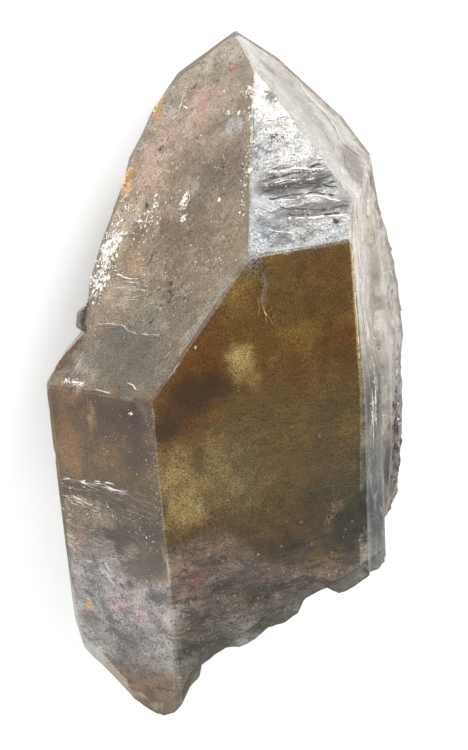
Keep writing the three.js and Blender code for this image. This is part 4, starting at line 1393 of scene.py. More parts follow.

# Single bright lines: painted highlights along ridges, ledges, edges and rims of dents, with scratches
# and twig-shaped cracks: route, width, colour, broken, wander, depth
SCRATCHES_AND_HIGHLIGHT_LINES: Rows = ((Side.LEFT, (
    # White and faint lines along the scars: painted highlights on their ridges.
    ((-22.7, -16.2, -19.6, -16, -16.1, -16.4, -13.4, -15.4, -10.3, -15.8), 0.15, WHITE, 0.36, 0.35),
    ((-13.4, -15.6, -8, -16.2, -4, -16.8, -0.6, -16.6), 0.055, FAINT, 0.42),
    ((-12.6, -16, -7, -17.4, -0.8, -18.4), 0.055, FAINT, 0.2),
    ((-16, -16.9, -10, -18.4, -4, -19.6, -0.8, -20.6), 0.055, FAINT, 0.42),
    ((-22.8, -17.5, -17, -17.8, -12, -19, -5, -20.4), 0.05, FAINT, 0.42),
    ((-23.2, -19.4, -20.8, -19.2, -18.2, -19.8), 0.18, WHITE, 0.25),
    ((-18.5, -19.8, -13.5, -21.2, -7.5, -23), 0.055, FAINT, 0.42),
    ((-22.8, -20.4, -18.8, -20.6, -15.2, -21.4), 0.1, WHITE, 0.4),
    ((-14.9, 0, -15.2, -3, -14.8, -6.6), 0.1, LILAC, 0.3, 0.3, 0.3),
    ((-21.4, -0.6, -18.2, -2.6, -16, -5.4), 0.09, LILAC, 0.3, 0.4, 0.3),
    ((-19.7, -30.6, -17.4, -30.8), 0.18, WHITE),
    ((-14.8, -30.2, -13.8, -31.5, -12.8, -32.8), 0.18, WHITE, 0.3),
    # Lines along the edge to the tip face: painted highlight.
    ((-21.4, 0.9, -18.9, 1.4, -16.1, 1.3), 0.26, WHITE, 0.3),
    ((-16.1, 1.2, -9.7, 0.5, -5, 0.2), 0.12, LILAC, 0.45), ((-7, 2.5, -5.4, 2.1, -4, 1.5), 0.16, WHITE),
    ((-19.4, 17.2, -16.9, 17.3, -14, 16.9, -10.3, 16.9), 0.15, WHITE, 0.42, 0.25),
    ((-19.8, 9.3, -17.9, 10.1, -15.2, 10.2, -12.9, 10.2, -10.7, 9.5, -6.9, 9.5, -2.9, 9.7),
     0.09, LILAC, 0.4, 0.25), ((-17.1, 42, -17.2, 43.1, -17.4, 44.1, -17.5, 44.7), 0.17, WHITE),
    # Short white lines at the rims of dents: painted highlights.
    ((-16.8, 42.9, -15.4, 42.6, -14.4, 43), 0.16, WHITE), ((-18, 40.4, -17.3, 41.6), 0.15, WHITE),
    ((-9.8, 27.8, -8.7, 27.6, -7.6, 29.3, -8.6, 30.6, -9.8, 27.8), 0.13, WHITE),
)), (Side.FRONT, (
    ((20.4, 14.9, 20.4, 12.7, 20.1, 11.3), 0.2, STRAW, 0, 0.2, 0.05),
    ((21, 13.6, 21.6, 12.1, 22.2, 10.6, 22.8, 9.4), 0.22, STRAW, 0, 0.2, 0.05),
    ((21.6, 12.1, 22.4, 12.4, 23, 12.9), 0.18, STRAW, 0, 0.2, 0.05),
    ((22.2, 10.8, 22.9, 10.9, 23.4, 11.6), 0.16, STRAW, 0, 0.2, 0.05),
    ((21.5, 12.6, 21.3, 11.2, 21.6, 10), 0.14, STRAW, 0, 0.2, 0.05),
    # White lines along the ledges: painted highlights.
    ((27.6, 33.6, 32.2, 33.5, 37.8, 32.9), 0.24, WHITE, 0.2, 0.25, 0),
    ((26.2, 31.7, 30.5, 32, 36.8, 31.7), 0.18, WHITE, 0.4, 0.25, 0),
    ((27.5, 29.3, 34.2, 29.2, 38.6, 27.7), 0.26, WHITE, 0.2, 0.25, 0),
    ((28.1, 26.6, 33.4, 25.8, 38.8, 25.7), 0.24, WHITE, 0.2, 0.2, 0),
    ((24, 25.6, 26.2, 24.7, 28.6, 24.4), 0.2, WHITE, 0.1, 0.2, 0),
)), (Side.STRIP, (
    ((50.2, 46.2, 51.6, 43.9, 50.3, 41.6, 50.1, 39.4), 0.18, WHITE, 0, 0.3),
    ((50.1, 39.4, 50.6, 36.2, 48.6, 34.5, 46.2, 33.2), 0.18, WHITE, 0, 0.3),
)), (Side.FRONT, (
    # A pale line along the right edge: painted highlight.
    ((38, 20.4, 37.9, 12, 37.8, 1), 0.14, (226, 214, 190), 0.3, 0.05),
)))

# Single dark lines, as cracks, threads of dark dust, and lines along the ledges of the stepped tip face
CRACKS: Rows = ((Side.FRONT, (
    ((1.5, -37.3, 5.5, -39, 9, -39.6), 0.3, SOOT, 0.35, 0.4, 0.4),
    ((2.5, -40.6, 6.5, -41.2), 0.26, SOOT, 0.35, 0.4, 0.4),
    ((13.3, -36.4, 17, -37.2, 22.6, -37), 0.34, SOOT, 0.4, 0.4, 0.4),
    ((15.3, -38.9, 19, -39.4), 0.26, SOOT, 0.35, 0.4, 0.4),
)), (Side.LEFT, (
    ((-16.8, -24.1, -11, -24.8, -6, -26), 0.26, SOOT, 0.4, 0.4, 0.4),
    ((-14.4, -33, -12.2, -33.8, -10.6, -35.2), 0.3, SOOT, 0.35, 0.5, 0.4),
    ((-20.6, -36, -17.4, -39.6, -14.8, -43.8), 0.3, SOOT, 0.35, 0.6, 0.4),
    ((-9.2, -41, -6, -43.4, -3.4, -44.2), 0.24, SOOT, 0.35, 0.6, 0.4),
    ((-12, 20.9, -11.4, 19.8, -11.9, 18.9), 0.14, SOOT), ((-18.7, 36, -17.7, 36.8), 0.14, SOOT),
    ((-5.2, 26, 0.4, 33, 2.4, 35.6), 0.13, UMBER, 0.45, 0.6),
    ((-10.7, 38.7, -6.6, 41, -3.7, 42.8), 0.12, UMBER, 0.5, 0.3),
    ((-19.6, 8.8, -12.9, 9.7, -6.9, 9.1), 0.1, UMBER, 0.45, 0.2),
)), (Side.FRONT, (
    ((29.2, 40.8, 31.3, 41, 34.6, 41.3), 0.16, ASH, 0, 0.1, 0),
    ((27.6, 34.1, 32.2, 34, 37.8, 33.4), 0.2, SOOT, 0.2, 0.25, 0),
    ((25.9, 32.4, 30.5, 32.9, 37.2, 32.5), 0.24, SOOT, 0.15, 0.25, 0),
    ((26.2, 31, 29.9, 31.4, 34.8, 31.1, 38.9, 29.9), 0.26, SOOT, 0.15, 0.25, 0),
    ((25.8, 30, 29, 29.7, 34.2, 29.8, 38.6, 28.3), 0.24, SOOT, 0.2, 0.25, 0),
    ((27.4, 28.5, 30.8, 27.5, 35, 27.1, 39.8, 26.9), 0.26, SOOT, 0.15, 0.2, 0),
    ((28.1, 27.1, 33.4, 26.3, 38.8, 26.2), 0.2, SOOT, 0.2, 0.2, 0),
    ((23.2, 28.2, 25, 26.6), 0.2, ASH, 0, 0.1, 0), ((23.7, 29, 27.1, 27.1), 0.2, ASH, 0, 0.1, 0),
    ((26, 22.8, 29, 23.4, 32.6, 24.3), 0.16, ASH, 0.3, 0.2, 0),
    ((27.9, 37.2, 29.8, 37.2, 30.7, 39.4), 0.14, ASH, 0, 0.1, 0),
)), (Side.STRIP, (
    ((49.1, 46, 50.6, 43.9, 49.2, 41.6, 49, 39.4), 0.22, DUN, 0, 0.3),
    ((49, 39.4, 49.6, 36.4, 47.6, 34.9, 44.8, 33.5), 0.26, DUN, 0, 0.3),
    ((44.8, 33.5, 45.4, 31.9, 48.6, 29.6), 0.22, DUN),
    ((44.4, 38.4, 41, 36, 37.2, 33.4), 0.14, ASH, 0.3, 0.3),
    ((45.8, 32, 40.6, 32, 36, 31), 0.14, UMBER, 0.3),
    ((46.6, 46.4, 47, 42, 48.2, 38.6), 0.12, ASH, 0.3, 0.2),
)))

# Fields of fine pale strokes, as scars, growth lines and worn strips along edges, with painted highlights
# along the left face's scars and on the stepped tip face: route, spread, count, length, width, colour, way,
# slant, depth
PALE_STROKES_AND_HIGHLIGHTS: Rows = ((Side.LEFT, (
    # White strokes along the scars: painted highlights on their ridges.
    ((-22.5, -16.3, -12, -16.4, -9, -17), 0.5, 24, 2.6, 0.1, WHITE, -5, 5),
    ((-22.8, -19.6, -14, -20.6), 0.5, 14, 2.4, 0.09, WHITE, -10, 5),
    ((-21, -17.8, -3, -20), 2.2, 60, 2.6, 0.045, FAINT, -12, 7),
    ((-22.6, -22, -22, -29), 1.2, 16, 1.6, 0.09, WHITE, -20, 20),
    ((-19, -26.6, -8, -28.4), 2.4, 30, 2.2, 0.08, MAUVE, -8, 10),
    ((-18, -32, -9, -46), 5, 110, 0.8, 0.1, WHITE, -40, 40, 0.2),
    ((-16, -31, -12.4, -34.6), 0.5, 10, 1.6, 0.12, WHITE, -52, 8),
    ((1.6, 3, 5, 8.2, 9, 14.6), 0.9, 40, 1.6, 0.08, MAUVE, 56, 10),
    ((-2.6, 3.2, 3.8, 12, 8.2, 19.6), 0.5, 30, 1.8, 0.07, MAUVE, 56, 8),
    ((-20, 5, -17, 1.6), 1.6, 16, 1.8, 0.1, MAUVE, 50, 25),
    ((-22, 30, -21, 16), 2, 50, 1.2, 0.12, WHITE, 70, 40),
    ((-19, 16.8, -9, 15.4), 1.2, 20, 1.6, 0.07, WHITE, 0, 14),
    ((-14, 40, -8, 22, -14, 12), 7, 60, 0.8, 0.08, (220, 206, 186), 50, 50),
    ((-16, -4, -20, -13), 3, 20, 2.6, 0.1, MAUVE, 86, 8, 0.1),
)), (Side.FRONT, (
    ((12, -4, 35, -5), 4, 120, 3.2, 0.05, SAND, -1.5, 2, 0.3),
    ((14, -9, 35, -10), 6, 140, 2.8, 0.05, SAND, -1.5, 2, 0.3),
    ((18, -16, 34, -18), 4, 30, 2.6, 0.045, SAND, -1.5, 2, 0.3),
    ((9, 13.4, 18.5, 22.2), 0.5, 24, 1.4, 0.09, MAUVE, 46, 8),
    # White strokes across the stepped tip face: painted highlights.
    ((24, 34, 38, 32), 3, 40, 2, 0.09, WHITE, 4, 8),
    ((3, -30, 20, -36), 4, 50, 2.2, 0.06, (180, 158, 150), -8, 14, 0.2),
)), (Side.STRIP, (
    ((25, 24, 25, 4, 22, -14), 1.6, 80, 4, 0.11, WHITE, 90, 4),
    ((40, 44, 44, 36, 38, 28), 4, 40, 3.4, 0.08, WHITE, -48, 5),
    ((50, 44, 52, 38, 51, 32), 1.2, 40, 2.4, 0.2, WHITE, -62, 10),
)), (Side.OVERGROWTH, (
    ((44, 20, 46, -16), 5, 110, 2, 0.14, WHITE, 84, 10),
)))

# Fields of fine dark strokes, as threads in the low cloud and lines on the stepped face
DARK_STROKES: Rows = ((Side.LEFT, (
    ((-20, -34, -15, -42, -9, -45), 4, 90, 0.9, 0.16, STEEL, -46, 30, 0.3),
    ((-6, -36, -1, -34.6), 1.2, 30, 0.9, 0.16, CHARCOAL, -20, 40, 0.3),
    ((-18, -34, -15, -40), 0.6, 30, 1.2, 0.14, STEEL, -60, 20, 0.3),
    ((-17, -25.5, -4, -25.5), 0.5, 30, 2.4, 0.1, CHARCOAL, 0, 6, 0.3),
    ((-14.6, -42.4, -12, -44.4, -9, -44.4), 0.6, 50, 1, 0.16, CHARCOAL, -30, 24, 0.3),
    ((-3.4, -41, 1, -42.4), 0.6, 30, 1.2, 0.16, CHARCOAL, -14, 20, 0.3),
    ((-20, -47, -8, -50), 2, 30, 1.2, 0.12, SLATE, -20, 18, 0.2),
    ((-10, 38, -2, 28, 0, 20), 6, 120, 0.8, 0.09, (120, 100, 76), 56, 40),
    ((-14, 8, -6, 5), 3, 40, 1.6, 0.09, (110, 104, 92), 0, 20),
    ((-18, -6, -12, -22), 5, 50, 2.4, 0.09, (96, 74, 50), -10, 12, 0.2),
)), (Side.FRONT, (
    ((2, -37, 10, -41, 4, -47), 3.4, 90, 1.2, 0.13, CHARCOAL, 6, 24, 0.3),
    ((8, -34.8, 24, -37.6), 1.4, 80, 1.6, 0.13, CHARCOAL, 0, 12, 0.3),
    ((6, -31, 20, -34.6), 2.4, 70, 1.8, 0.1, STEEL, -14, 16, 0.3),
    ((10, -43, 22, -40.4), 1.8, 60, 1.8, 0.12, SLATE, 20, 20, 0.3),
    ((20, -20, 33, -30), 4, 60, 2.2, 0.09, (76, 66, 46), 10, 24, 0.3),
    ((26, 31.4, 38, 31), 1.1, 90, 2.4, 0.12, CHARCOAL, 4, 7, 0),
    ((27, 34.4, 38, 33.6), 1.2, 40, 1.8, 0.11, SLATE, 4, 10, 0),
    ((27, 27.2, 39.5, 27.4), 0.8, 90, 2.8, 0.12, SLATE, 3, 6, 0),
    ((26, 37, 38, 34, 38, 31, 26, 33), 1.8, 90, 2.2, 0.08, (92, 90, 86), 4, 9, 0),
    ((28, 41, 36, 37), 2.4, 44, 1.4, 0.08, (140, 140, 136), 4, 20, 0),
    ((22, 25, 36, 23.4), 2, 80, 1.6, 0.09, STEEL, -30, 20, 0),
    ((23, 26, 28, 24), 1.6, 30, 2, 0.13, STEEL, -38, 14, 0),
    ((27.6, 41, 26, 34), 1.2, 30, 1.6, 0.12, SLATE, 60, 30, 0),
)), (Side.STRIP, (
    ((24.6, 24, 24.6, 4, 21, -20), 2.4, 60, 4, 0.09, SLATE, 90, 4),
    ((45, 30, 33, 28), 1.6, 30, 1.4, 0.12, (130, 110, 88), 20, 30),
)), (Side.OVERGROWTH, (
    ((44, 18, 46, -4), 5, 50, 1.8, 0.14, (170, 152, 144), 84, 10),
    ((44, -12, 44, -28), 4, 160, 1.6, 0.26, (84, 70, 66), 80, 24),
)))


@dataclass
class Marks:
    """The small things on and just under the skin: crusts, specks, cracks and scratches, with painted
    sparkles and painted highlight lines.
    """

    form: CrystalForm
    skin: "QuartzSkin"
    rim: int = 7
    vein_step: float = 0.3
    bends: int = 7
    margin: float = 0.12

    def held(self, side: Side, q: Array, c: Array) -> Tuple[Array, Array]:
        """Keeps places on their side: those just past an edge are drawn back, the others marked.

        Args:
            side: The side.
            q: Places across.
            c: Heights.

        Returns:
            The places across, and which of them were on the side or close to it.
        """
        corners = self.form.corners(c, Inset())
        (x0, z0), (x1, z1) = corners[side], corners[(side + 1) % len(corners)]
        cos, sin = math.cos(ANGLE[side]), math.sin(ANGLE[side])
        q0, q1 = cos * x0 - sin * z0 + self.margin, cos * x1 - sin * z1 - self.margin
        near = (q > q0 - 0.6) & (q < q1 + 0.6) & (q1 > q0)
        q = np.clip(q, q0, np.maximum(q0, q1))
        foot = along(RIM[side], (q - q0) / np.maximum(q1 - q0, 1e-6))
        return q, near & (c > foot + 0.7)

    def lifted(self, side: Side, q: Array, c: Array, height: Array) -> Array:
        """Points that stand a height above the carved skin of a side, each (x, c, z)."""
        places = self.form.on_side(side, q, c)
        out = self.skin.relief(places) - self.skin.wear_and_edge_highlight(places) + height
        angle = ANGLE[side]
        return np.stack([places.x + out * math.sin(angle), places.c, places.z + out * math.cos(angle)],
                        axis=-1)

    @staticmethod
    def strewn(marks: Union[Grains, Hatch], rng: np.random.Generator) -> List[Array]:
        """Random places along a field's route, q and c, each straying from it by the field's spread."""
        route = np.reshape(marks.route, (-1, 2))
        spots, at = np.linspace(0, 1, len(route)), rng.random(marks.count)
        return [np.interp(at, spots, line) + marks.spread * rng.normal(0, 0.5, marks.count)
                for line in route.T]

    def grain_field(self, field_: Grains, rng: np.random.Generator) -> Tuple[Array, Array, Array]:
        """One field's grains: lenses with a ragged rim, a middle above it and one below.

        Rim point k of a grain stands at its centre plus r_k (cos t_k, sin t_k), squeezed across a
        random direction.

        Args:
            field_: The field.
            rng: Gives the random numbers.

        Returns:
            Points, triangles and a colour for each point.
        """
        count, rim = field_.count, self.rim
        q, c = self.strewn(field_, rng)
        size = field_.size * np.exp(rng.normal(0, 0.4, count))
        q, near = self.held(field_.side, q, c)
        q, c, size = q[near], c[near], size[near]
        count = len(q)
        spin = rng.random(count) * 2 * np.pi
        squeeze = rng.uniform(0.35, 1.0, count)
        turn = 2 * np.pi * np.arange(rim)[None, :] / rim + rng.random((count, 1))
        reach = size[:, None] * rng.uniform(0.6, 1.2, (count, rim))
        u, v = reach * np.cos(turn), reach * np.sin(turn) * squeeze[:, None]
        du = u * np.cos(spin)[:, None] - v * np.sin(spin)[:, None]
        dv = u * np.sin(spin)[:, None] + v * np.cos(spin)[:, None]
        thick = 0.35 * size * squeeze
        lift = np.full((count, rim), -field_.depth)
        ring = self.lifted(field_.side, q[:, None] + du, c[:, None] + dv, lift - 0.01)
        over = self.lifted(field_.side, q, c, thick - field_.depth)
        under = self.lifted(field_.side, q, c, -thick - field_.depth)
        points = np.concatenate([ring, over[:, None], under[:, None]], axis=1)
        first = (np.arange(count) * (rim + 2))[:, None]
        k, after = np.arange(rim)[None, :], (np.arange(rim)[None, :] + 1) % rim
        upper = np.stack([first + k, first + after, first + rim + 0 * k], axis=-1)
        lower = np.stack([first + after, first + k, first + rim + 1 + 0 * k], axis=-1)
        shade = daylight(field_.colour) * rng.uniform(0.75, 1.15, (count, 1))
        colours = np.repeat(np.clip(shade, 0, 0.92), rim + 2, axis=0)
        return points.reshape(-1, 3), np.vstack([upper.reshape(-1, 3), lower.reshape(-1, 3)]), colours

    def vein(self, line: Vein, seed: int) -> Tuple[Array, Array, Array]:
        """One line, drawn out to nothing at both ends and at its gaps.

        Args:
            line: The vein.
            seed: Gives its wandering.

        Returns:
            Points, triangles and a colour for each point.
        """
        route = np.reshape(line.route, (-1, 2))
        run = np.concatenate([[0], np.cumsum(np.hypot(*np.diff(route, axis=0).T))])
        at = np.linspace(0, run[-1], max(6, int(run[-1] / self.vein_step)))
        stray = line.wander * np.minimum(1, np.minimum(at, run[-1] - at) / 0.8)
        q = np.interp(at, run, route[:, 0]) + stray * grain(at, at * 0, at * 0, 1.6, seed)
        c = np.interp(at, run, route[:, 1]) + stray * grain(at, at * 0, at * 0, 1.6, seed + 5)
        width = line.width / 2 * (1 + 0.6 * grain(at, at * 0, at * 0, 0.9, seed + 9, 2))
        width = width * np.minimum(1, np.minimum(at, run[-1] - at) / 0.7)
        there = 0.5 + 0.5 * grain(at, at * 0, at * 0, 1.2, seed + 13, 2)
        width = np.maximum(width * smooth(line.broken - 0.1, line.broken + 0.08, there), 0)
        colours = daylight(line.colour)[None]
        return self.threads(line.side, q[None], c[None], width[None], line.depth, colours)

    def hatch(self, lines: Hatch, rng: np.random.Generator) -> Tuple[Array, Array, Array]:
        """One field's strokes, each slightly bowed and drawn out to nothing at both ends.

        Args:
            lines: The field.
            rng: Gives the random numbers.

        Returns:
            Points, triangles and a colour for each point.
        """
        count = lines.count
        q, c = self.strewn(lines, rng)
        way = np.radians(lines.way + rng.normal(0, lines.slant, count))[:, None]
        length = (lines.length * np.exp(rng.normal(0, 0.5, count)))[:, None]
        run = np.linspace(-0.5, 0.5, self.bends)[None, :]
        bow = rng.normal(0, 0.08, count)[:, None] * length * (0.25 - run**2)
        q = q[:, None] + run * length * np.cos(way) - bow * np.sin(way)
        c = c[:, None] + run * length * np.sin(way) + bow * np.cos(way)
        q, near = self.held(lines.side, q, c)
        keep = near.all(axis=1)
        width = lines.width / 2 * rng.uniform(0.5, 1.3, (count, self.bends)) * (1 - (2 * run) ** 2)
        colours = np.clip(daylight(lines.colour) * rng.uniform(0.7, 1.2, (count, 1)), 0, 0.92)
        return self.threads(lines.side, q[keep], c[keep], width[keep], lines.depth, colours[keep])

    def threads(self, side: Side, q: Array, c: Array, width: Array, depth: float,
                colours: Array) -> Tuple[Array, Array, Array]:
        """Four-cornered threads through rows of places, closed where their width is nothing.

        Args:
            side: The side that they lie on.
            q: Places across, one row for each thread.
            c: Heights.
            width: Half widths.
            depth: How far under the skin they lie.
            colours: One colour for each thread.

        Returns:
            Points, triangles and a colour for each point.
        """
        along_q, along_c = np.gradient(q, axis=1), np.gradient(c, axis=1)
        length = np.maximum(np.hypot(along_q, along_c), 1e-6)
        across_q, across_c = -along_c / length * width, along_q / length * width
        level = np.full(q.shape, -depth)
        corners = (self.lifted(side, q + across_q, c + across_c, level),
                   self.lifted(side, q, c, level - 0.5 * width),
                   self.lifted(side, q - across_q, c - across_c, level),
                   self.lifted(side, q, c, level + 0.5 * width))
        rings = np.stack(corners, axis=2)
        here = np.arange(q.size * 4).reshape(q.shape + (4,))
        a, b = here[:, :-1], here[:, 1:]
        a_next, b_next = np.roll(a, -1, axis=2), np.roll(b, -1, axis=2)
        triangles = np.concatenate([np.stack([a, b, a_next], axis=-1).reshape(-1, 3),
                                    np.stack([a_next, b, b_next], axis=-1).reshape(-1, 3)])
        return rings.reshape(-1, 3), triangles, np.repeat(colours, q.shape[1] * 4, axis=0)

    def join(self, parts: Sequence[Tuple[Array, Array, Array]]) -> Tuple[Array, Array, Array]:
        """Puts several parts' points, triangles and colours into one list of each."""
        starts = np.concatenate([[0], np.cumsum([len(p[0]) for p in parts])[:-1]])
        return (np.vstack([p[0] for p in parts]),
                np.vstack([p[1] + start for p, start in zip(parts, starts)]),
                np.vstack([p[2] for p in parts]))

    def build(self, maker: MeshMaker, material: bpy.types.Material) -> List[bpy.types.Object]:
        """Builds the pieces of grains and of veins.

        Args:
            maker: Makes the meshes.
            material: The grains' material.

        Returns:
            The pieces.
        """
        rng = np.random.default_rng(5)
        pieces = []
        for name, fields in (("white_crust_and_glints", CRUSTS_AND_GLINTS), ("dark_specks", SPECKS)):
            points, triangles, colours = self.join(
                [self.grain_field(f, rng) for f in listed(Grains, fields)])
            pieces.append(maker.piece(name, points, triangles, material, "inclusions",
                                      {"dust": colours}))
        for name, lines, hatches in (
                ("scratches_and_highlight_lines", SCRATCHES_AND_HIGHLIGHT_LINES, PALE_STROKES_AND_HIGHLIGHTS), ("dark_veins", CRACKS, DARK_STROKES)):
            parts = [self.vein(line, 700 + 20 * n) for n, line in enumerate(listed(Vein, lines))]
            parts += [self.hatch(field_, rng) for field_ in listed(Hatch, hatches)]
            points, triangles, colours = self.join(parts)
            pieces.append(maker.piece(name, points, triangles, material, "inclusions",
                                      {"dust": colours}))
        return pieces


class Graph:
    """A short way to lay out shader nodes in a material or a group."""

    def __init__(self, tree: bpy.types.NodeTree) -> None:
        """Keeps the node tree that nodes are added to."""
        self.tree = tree

    @classmethod
    def group(cls, name: str, inputs: Dict[str, object], output: str) -> Tuple["Graph", Sockets]:
        """Starts a node group with its sockets.

        Args:
            name: The group's name.
            inputs: Each input's name, with a kind of socket or the number that it starts from.
            output: Its one output, Color or Height.

        Returns:
            The group's graph, and its inputs by name.
        """
        graph = cls(bpy.data.node_groups.new(name, "ShaderNodeTree"))
        face = graph.tree.interface
        for key, kind in inputs.items():
            plain = isinstance(kind, float)
            socket = face.new_socket(key, in_out="INPUT",
                                     socket_type="NodeSocketFloat" if plain else "NodeSocket" + kind)
            if plain:
                socket.default_value = kind
        kind = "NodeSocketFloat" if output == "Height" else "NodeSocketColor"
        face.new_socket(output, in_out="OUTPUT", socket_type=kind)
        return graph, graph.add("NodeGroupInput").outputs

    def add(self, kind: str, values: Optional[Dict[object, object]] = None,
            **settings: object) -> bpy.types.Node:
        """Adds a node, sets its properties, and fills its inputs with values or links.

        Args:
            kind: The node's type.
            values: Inputs by name or number: a plain value, or another node's output socket.
            **settings: The node's own properties.

        Returns:
            The node.
        """
        node = self.tree.nodes.new(kind)
        for key, value in settings.items():
            setattr(node, key, value)
        for key, value in (values or {}).items():
            socket = node.inputs[key]
            if isinstance(value, bpy.types.NodeSocket):
                self.tree.links.new(value, socket)
            else:
                socket.default_value = value
        return node

    def math(self, operation: str, *values: object) -> bpy.types.NodeSocket:
        """A calculation on up to three numbers."""
        return self.add("ShaderNodeMath", dict(enumerate(values)), operation=operation).outputs[0]

    def vector(self, operation: str, *values: object) -> bpy.types.NodeSocket:
        """A calculation on two colours or places."""
        return self.add("ShaderNodeVectorMath", dict(enumerate(values)), operation=operation).outputs[0]

    def mapped(self, value: object, low: float, high: float, to_low: float = 0.0,
               to_high: float = 1.0, **settings: object) -> bpy.types.NodeSocket:
        """A number that runs from low to high, made to run from to_low to to_high and no further."""
        return self.add("ShaderNodeMapRange", {
            "Value": value, "From Min": low, "From Max": high, "To Min": to_low, "To Max": to_high},
            **settings).outputs[0]

    def mixed(self, share: object, first: object, second: object) -> bpy.types.NodeSocket:
        """Two colours mixed by the share of the second."""
        return self.add("ShaderNodeMix", {0: share, 6: first, 7: second}, data_type="RGBA").outputs[2]

    def noise(self, place: object, scale: object, detail: float, roughness: float = 0.5,
              distortion: float = 0.0) -> bpy.types.NodeSocket:
        """Smooth noise round 0.5."""
        return self.add("ShaderNodeTexNoise", {
            "Vector": place, "Scale": scale, "Detail": detail, "Roughness": roughness,
            "Distortion": distortion}).outputs["Fac"]

    def close(self, **outputs: bpy.types.NodeSocket) -> bpy.types.NodeTree:
        """Ends a node group with its output."""
        self.add("NodeGroupOutput", outputs)
        return self.tree


class GroupKit:
    """Node groups that several of the crystal's materials share."""

    def __init__(self) -> None:
        """Builds each group once."""
        self.mottle = self._mottle()
        self.freckles = self._freckles()
        self.pits = self._pits()
        self.wrinkles = self._wrinkles()

    @staticmethod
    def _mottle() -> bpy.types.NodeTree:
        """Mottled colour: two sizes of noise lighten and darken a colour by a given amount."""
        graph, given = Graph.group("Mottle", {
            "Vector": "Vector", "Color": "Color", "Coarse size": 3.0, "Fine size": 0.5, "Amount": 0.3},
            "Color")
        parts = []
        for size, weight, detail in (("Coarse size", 1.6, 3.0), ("Fine size", 9.2, 4.0)):
            scale = graph.math("DIVIDE", 1.0, given[size])
            part = graph.math("ADD", graph.noise(given["Vector"], scale, detail, 0.65), -0.5)
            parts.append(graph.math("MULTIPLY", part, weight))
        swing = graph.math("MULTIPLY", graph.math("ADD", *parts), given["Amount"])
        gain = graph.math("MAXIMUM", graph.math("ADD", swing, 1.0), 0.05)
        return graph.close(Color=graph.vector("MULTIPLY", given["Color"], gain))

    @staticmethod
    def _freckles() -> bpy.types.NodeTree:
        """Specks over a colour: cells of a Voronoi pattern, some picked dark and some pale."""
        graph, given = Graph.group("Freckles", {
            "Vector": "Vector", "Color": "Color", "Size": 0.5, "Dark share": 0.2, "Pale share": 0.1},
            "Color")
        scale = graph.math("DIVIDE", 1.0, given["Size"])
        noise = graph.add("ShaderNodeTexNoise", {"Vector": given["Vector"], "Scale": scale, "Detail": 2.0})
        bend = graph.vector("MULTIPLY", noise.outputs["Color"], given["Size"])
        cells = graph.add("ShaderNodeTexVoronoi", {
            "Vector": graph.vector("ADD", given["Vector"], bend), "Scale": scale}).outputs
        inside = graph.mapped(cells["Distance"], 0.5, 0.25)
        draw = graph.add("ShaderNodeSeparateColor", {"Color": cells["Color"]}).outputs
        colour = given["Color"]
        for channel, share, shade, most in (
                ("Red", "Dark share", (0.05, 0.035, 0.025, 1.0), 0.75),
                ("Green", "Pale share", (0.86, 0.80, 0.74, 1.0), 0.7)):
            picked = graph.math("LESS_THAN", draw[channel], given[share])
            mask = graph.math("MULTIPLY", graph.math("MULTIPLY", picked, inside), most)
            colour = graph.mixed(mask, colour, shade)
        return graph.close(Color=colour)

    @staticmethod
    def _pits() -> bpy.types.NodeTree:
        """Height of fine pits and grains: scattered round pits over two sizes of noise."""
        graph, given = Graph.group("Fine pits", {"Vector": "Vector", "Size": 0.8, "Depth": 1.0}, "Height")
        scale = graph.math("DIVIDE", 1.0, given["Size"])
        cells = graph.add("ShaderNodeTexVoronoi", {"Vector": given["Vector"], "Scale": scale})
        pit = graph.mapped(cells.outputs["Distance"], 0.12, 0.45)
        both = graph.math("MULTIPLY_ADD", pit, 0.5, graph.noise(given["Vector"], scale, 4.0, 0.7))
        return graph.close(Height=graph.math("MULTIPLY", both, given["Depth"]))

    @staticmethod
    def _wrinkles() -> bpy.types.NodeTree:
        """Height of fine wrinkles drawn out across the crystal, in two sizes of stretched noise."""
        graph, given = Graph.group("Wrinkles", {"Vector": "Vector", "Size": 0.6, "Depth": 1.0}, "Height")
        turned = graph.add("ShaderNodeMapping", {
            "Vector": given["Vector"], "Rotation": (0.0, 0.0, 0.1), "Scale": (0.24, 1.0, 0.6)}).outputs[0]
        parts = []
        for share, weight in ((1.0, 1.0), (0.4, 0.5)):
            scale = graph.math("DIVIDE", 1.0, graph.math("MULTIPLY", given["Size"], share))
            parts.append(graph.math("MULTIPLY", graph.noise(turned, scale, 3.0, 0.6, 0.6), weight))
        return graph.close(Height=graph.math("MULTIPLY", graph.math("ADD", *parts), given["Depth"]))


class Finish:
    """What the crystal's materials have in common: a clean node tree and crystal millimetres."""

    def __init__(self, name: str, placing: Placing, kit: GroupKit) -> None:
        """Starts a material.

        Args:
            name: Its name.
            placing: Gives the pattern's place on the crystal.
            kit: The shared groups.
        """
        self.material = bpy.data.materials.new(name)
        self.material.use_nodes = True
        self.material.node_tree.nodes.clear()
        self.graph = Graph(self.material.node_tree)
        self.kit = kit
        here = self.graph.add("ShaderNodeTexCoord")
        self.place = self.graph.add("ShaderNodeMapping", {
            "Vector": here.outputs["Object"], "Location": tuple(-s for s in placing.shift),
            "Scale": (1 / MILLIMETRE,) * 3}).outputs[0]

    def group(self, tree: bpy.types.NodeTree, values: Dict[str, object]) -> bpy.types.NodeSocket:
        """Places a shared group in the material and gives its output."""
        return self.graph.add("ShaderNodeGroup", {"Vector": self.place, **values},
                              node_tree=tree).outputs[0]

    def attribute(self, name: str, output: str = "Fac") -> bpy.types.NodeSocket:
        """The mesh's own value or colour by name."""
        return self.graph.add("ShaderNodeAttribute", attribute_name=name).outputs[output]

    def bump(self, height: object, strength: float, deep: float) -> bpy.types.NodeSocket:
        """The normal of a surface with fine relief, deep in millimetres."""
        return self.graph.add("ShaderNodeBump", {
            "Height": height, "Strength": strength, "Distance": deep * MILLIMETRE}).outputs[0]


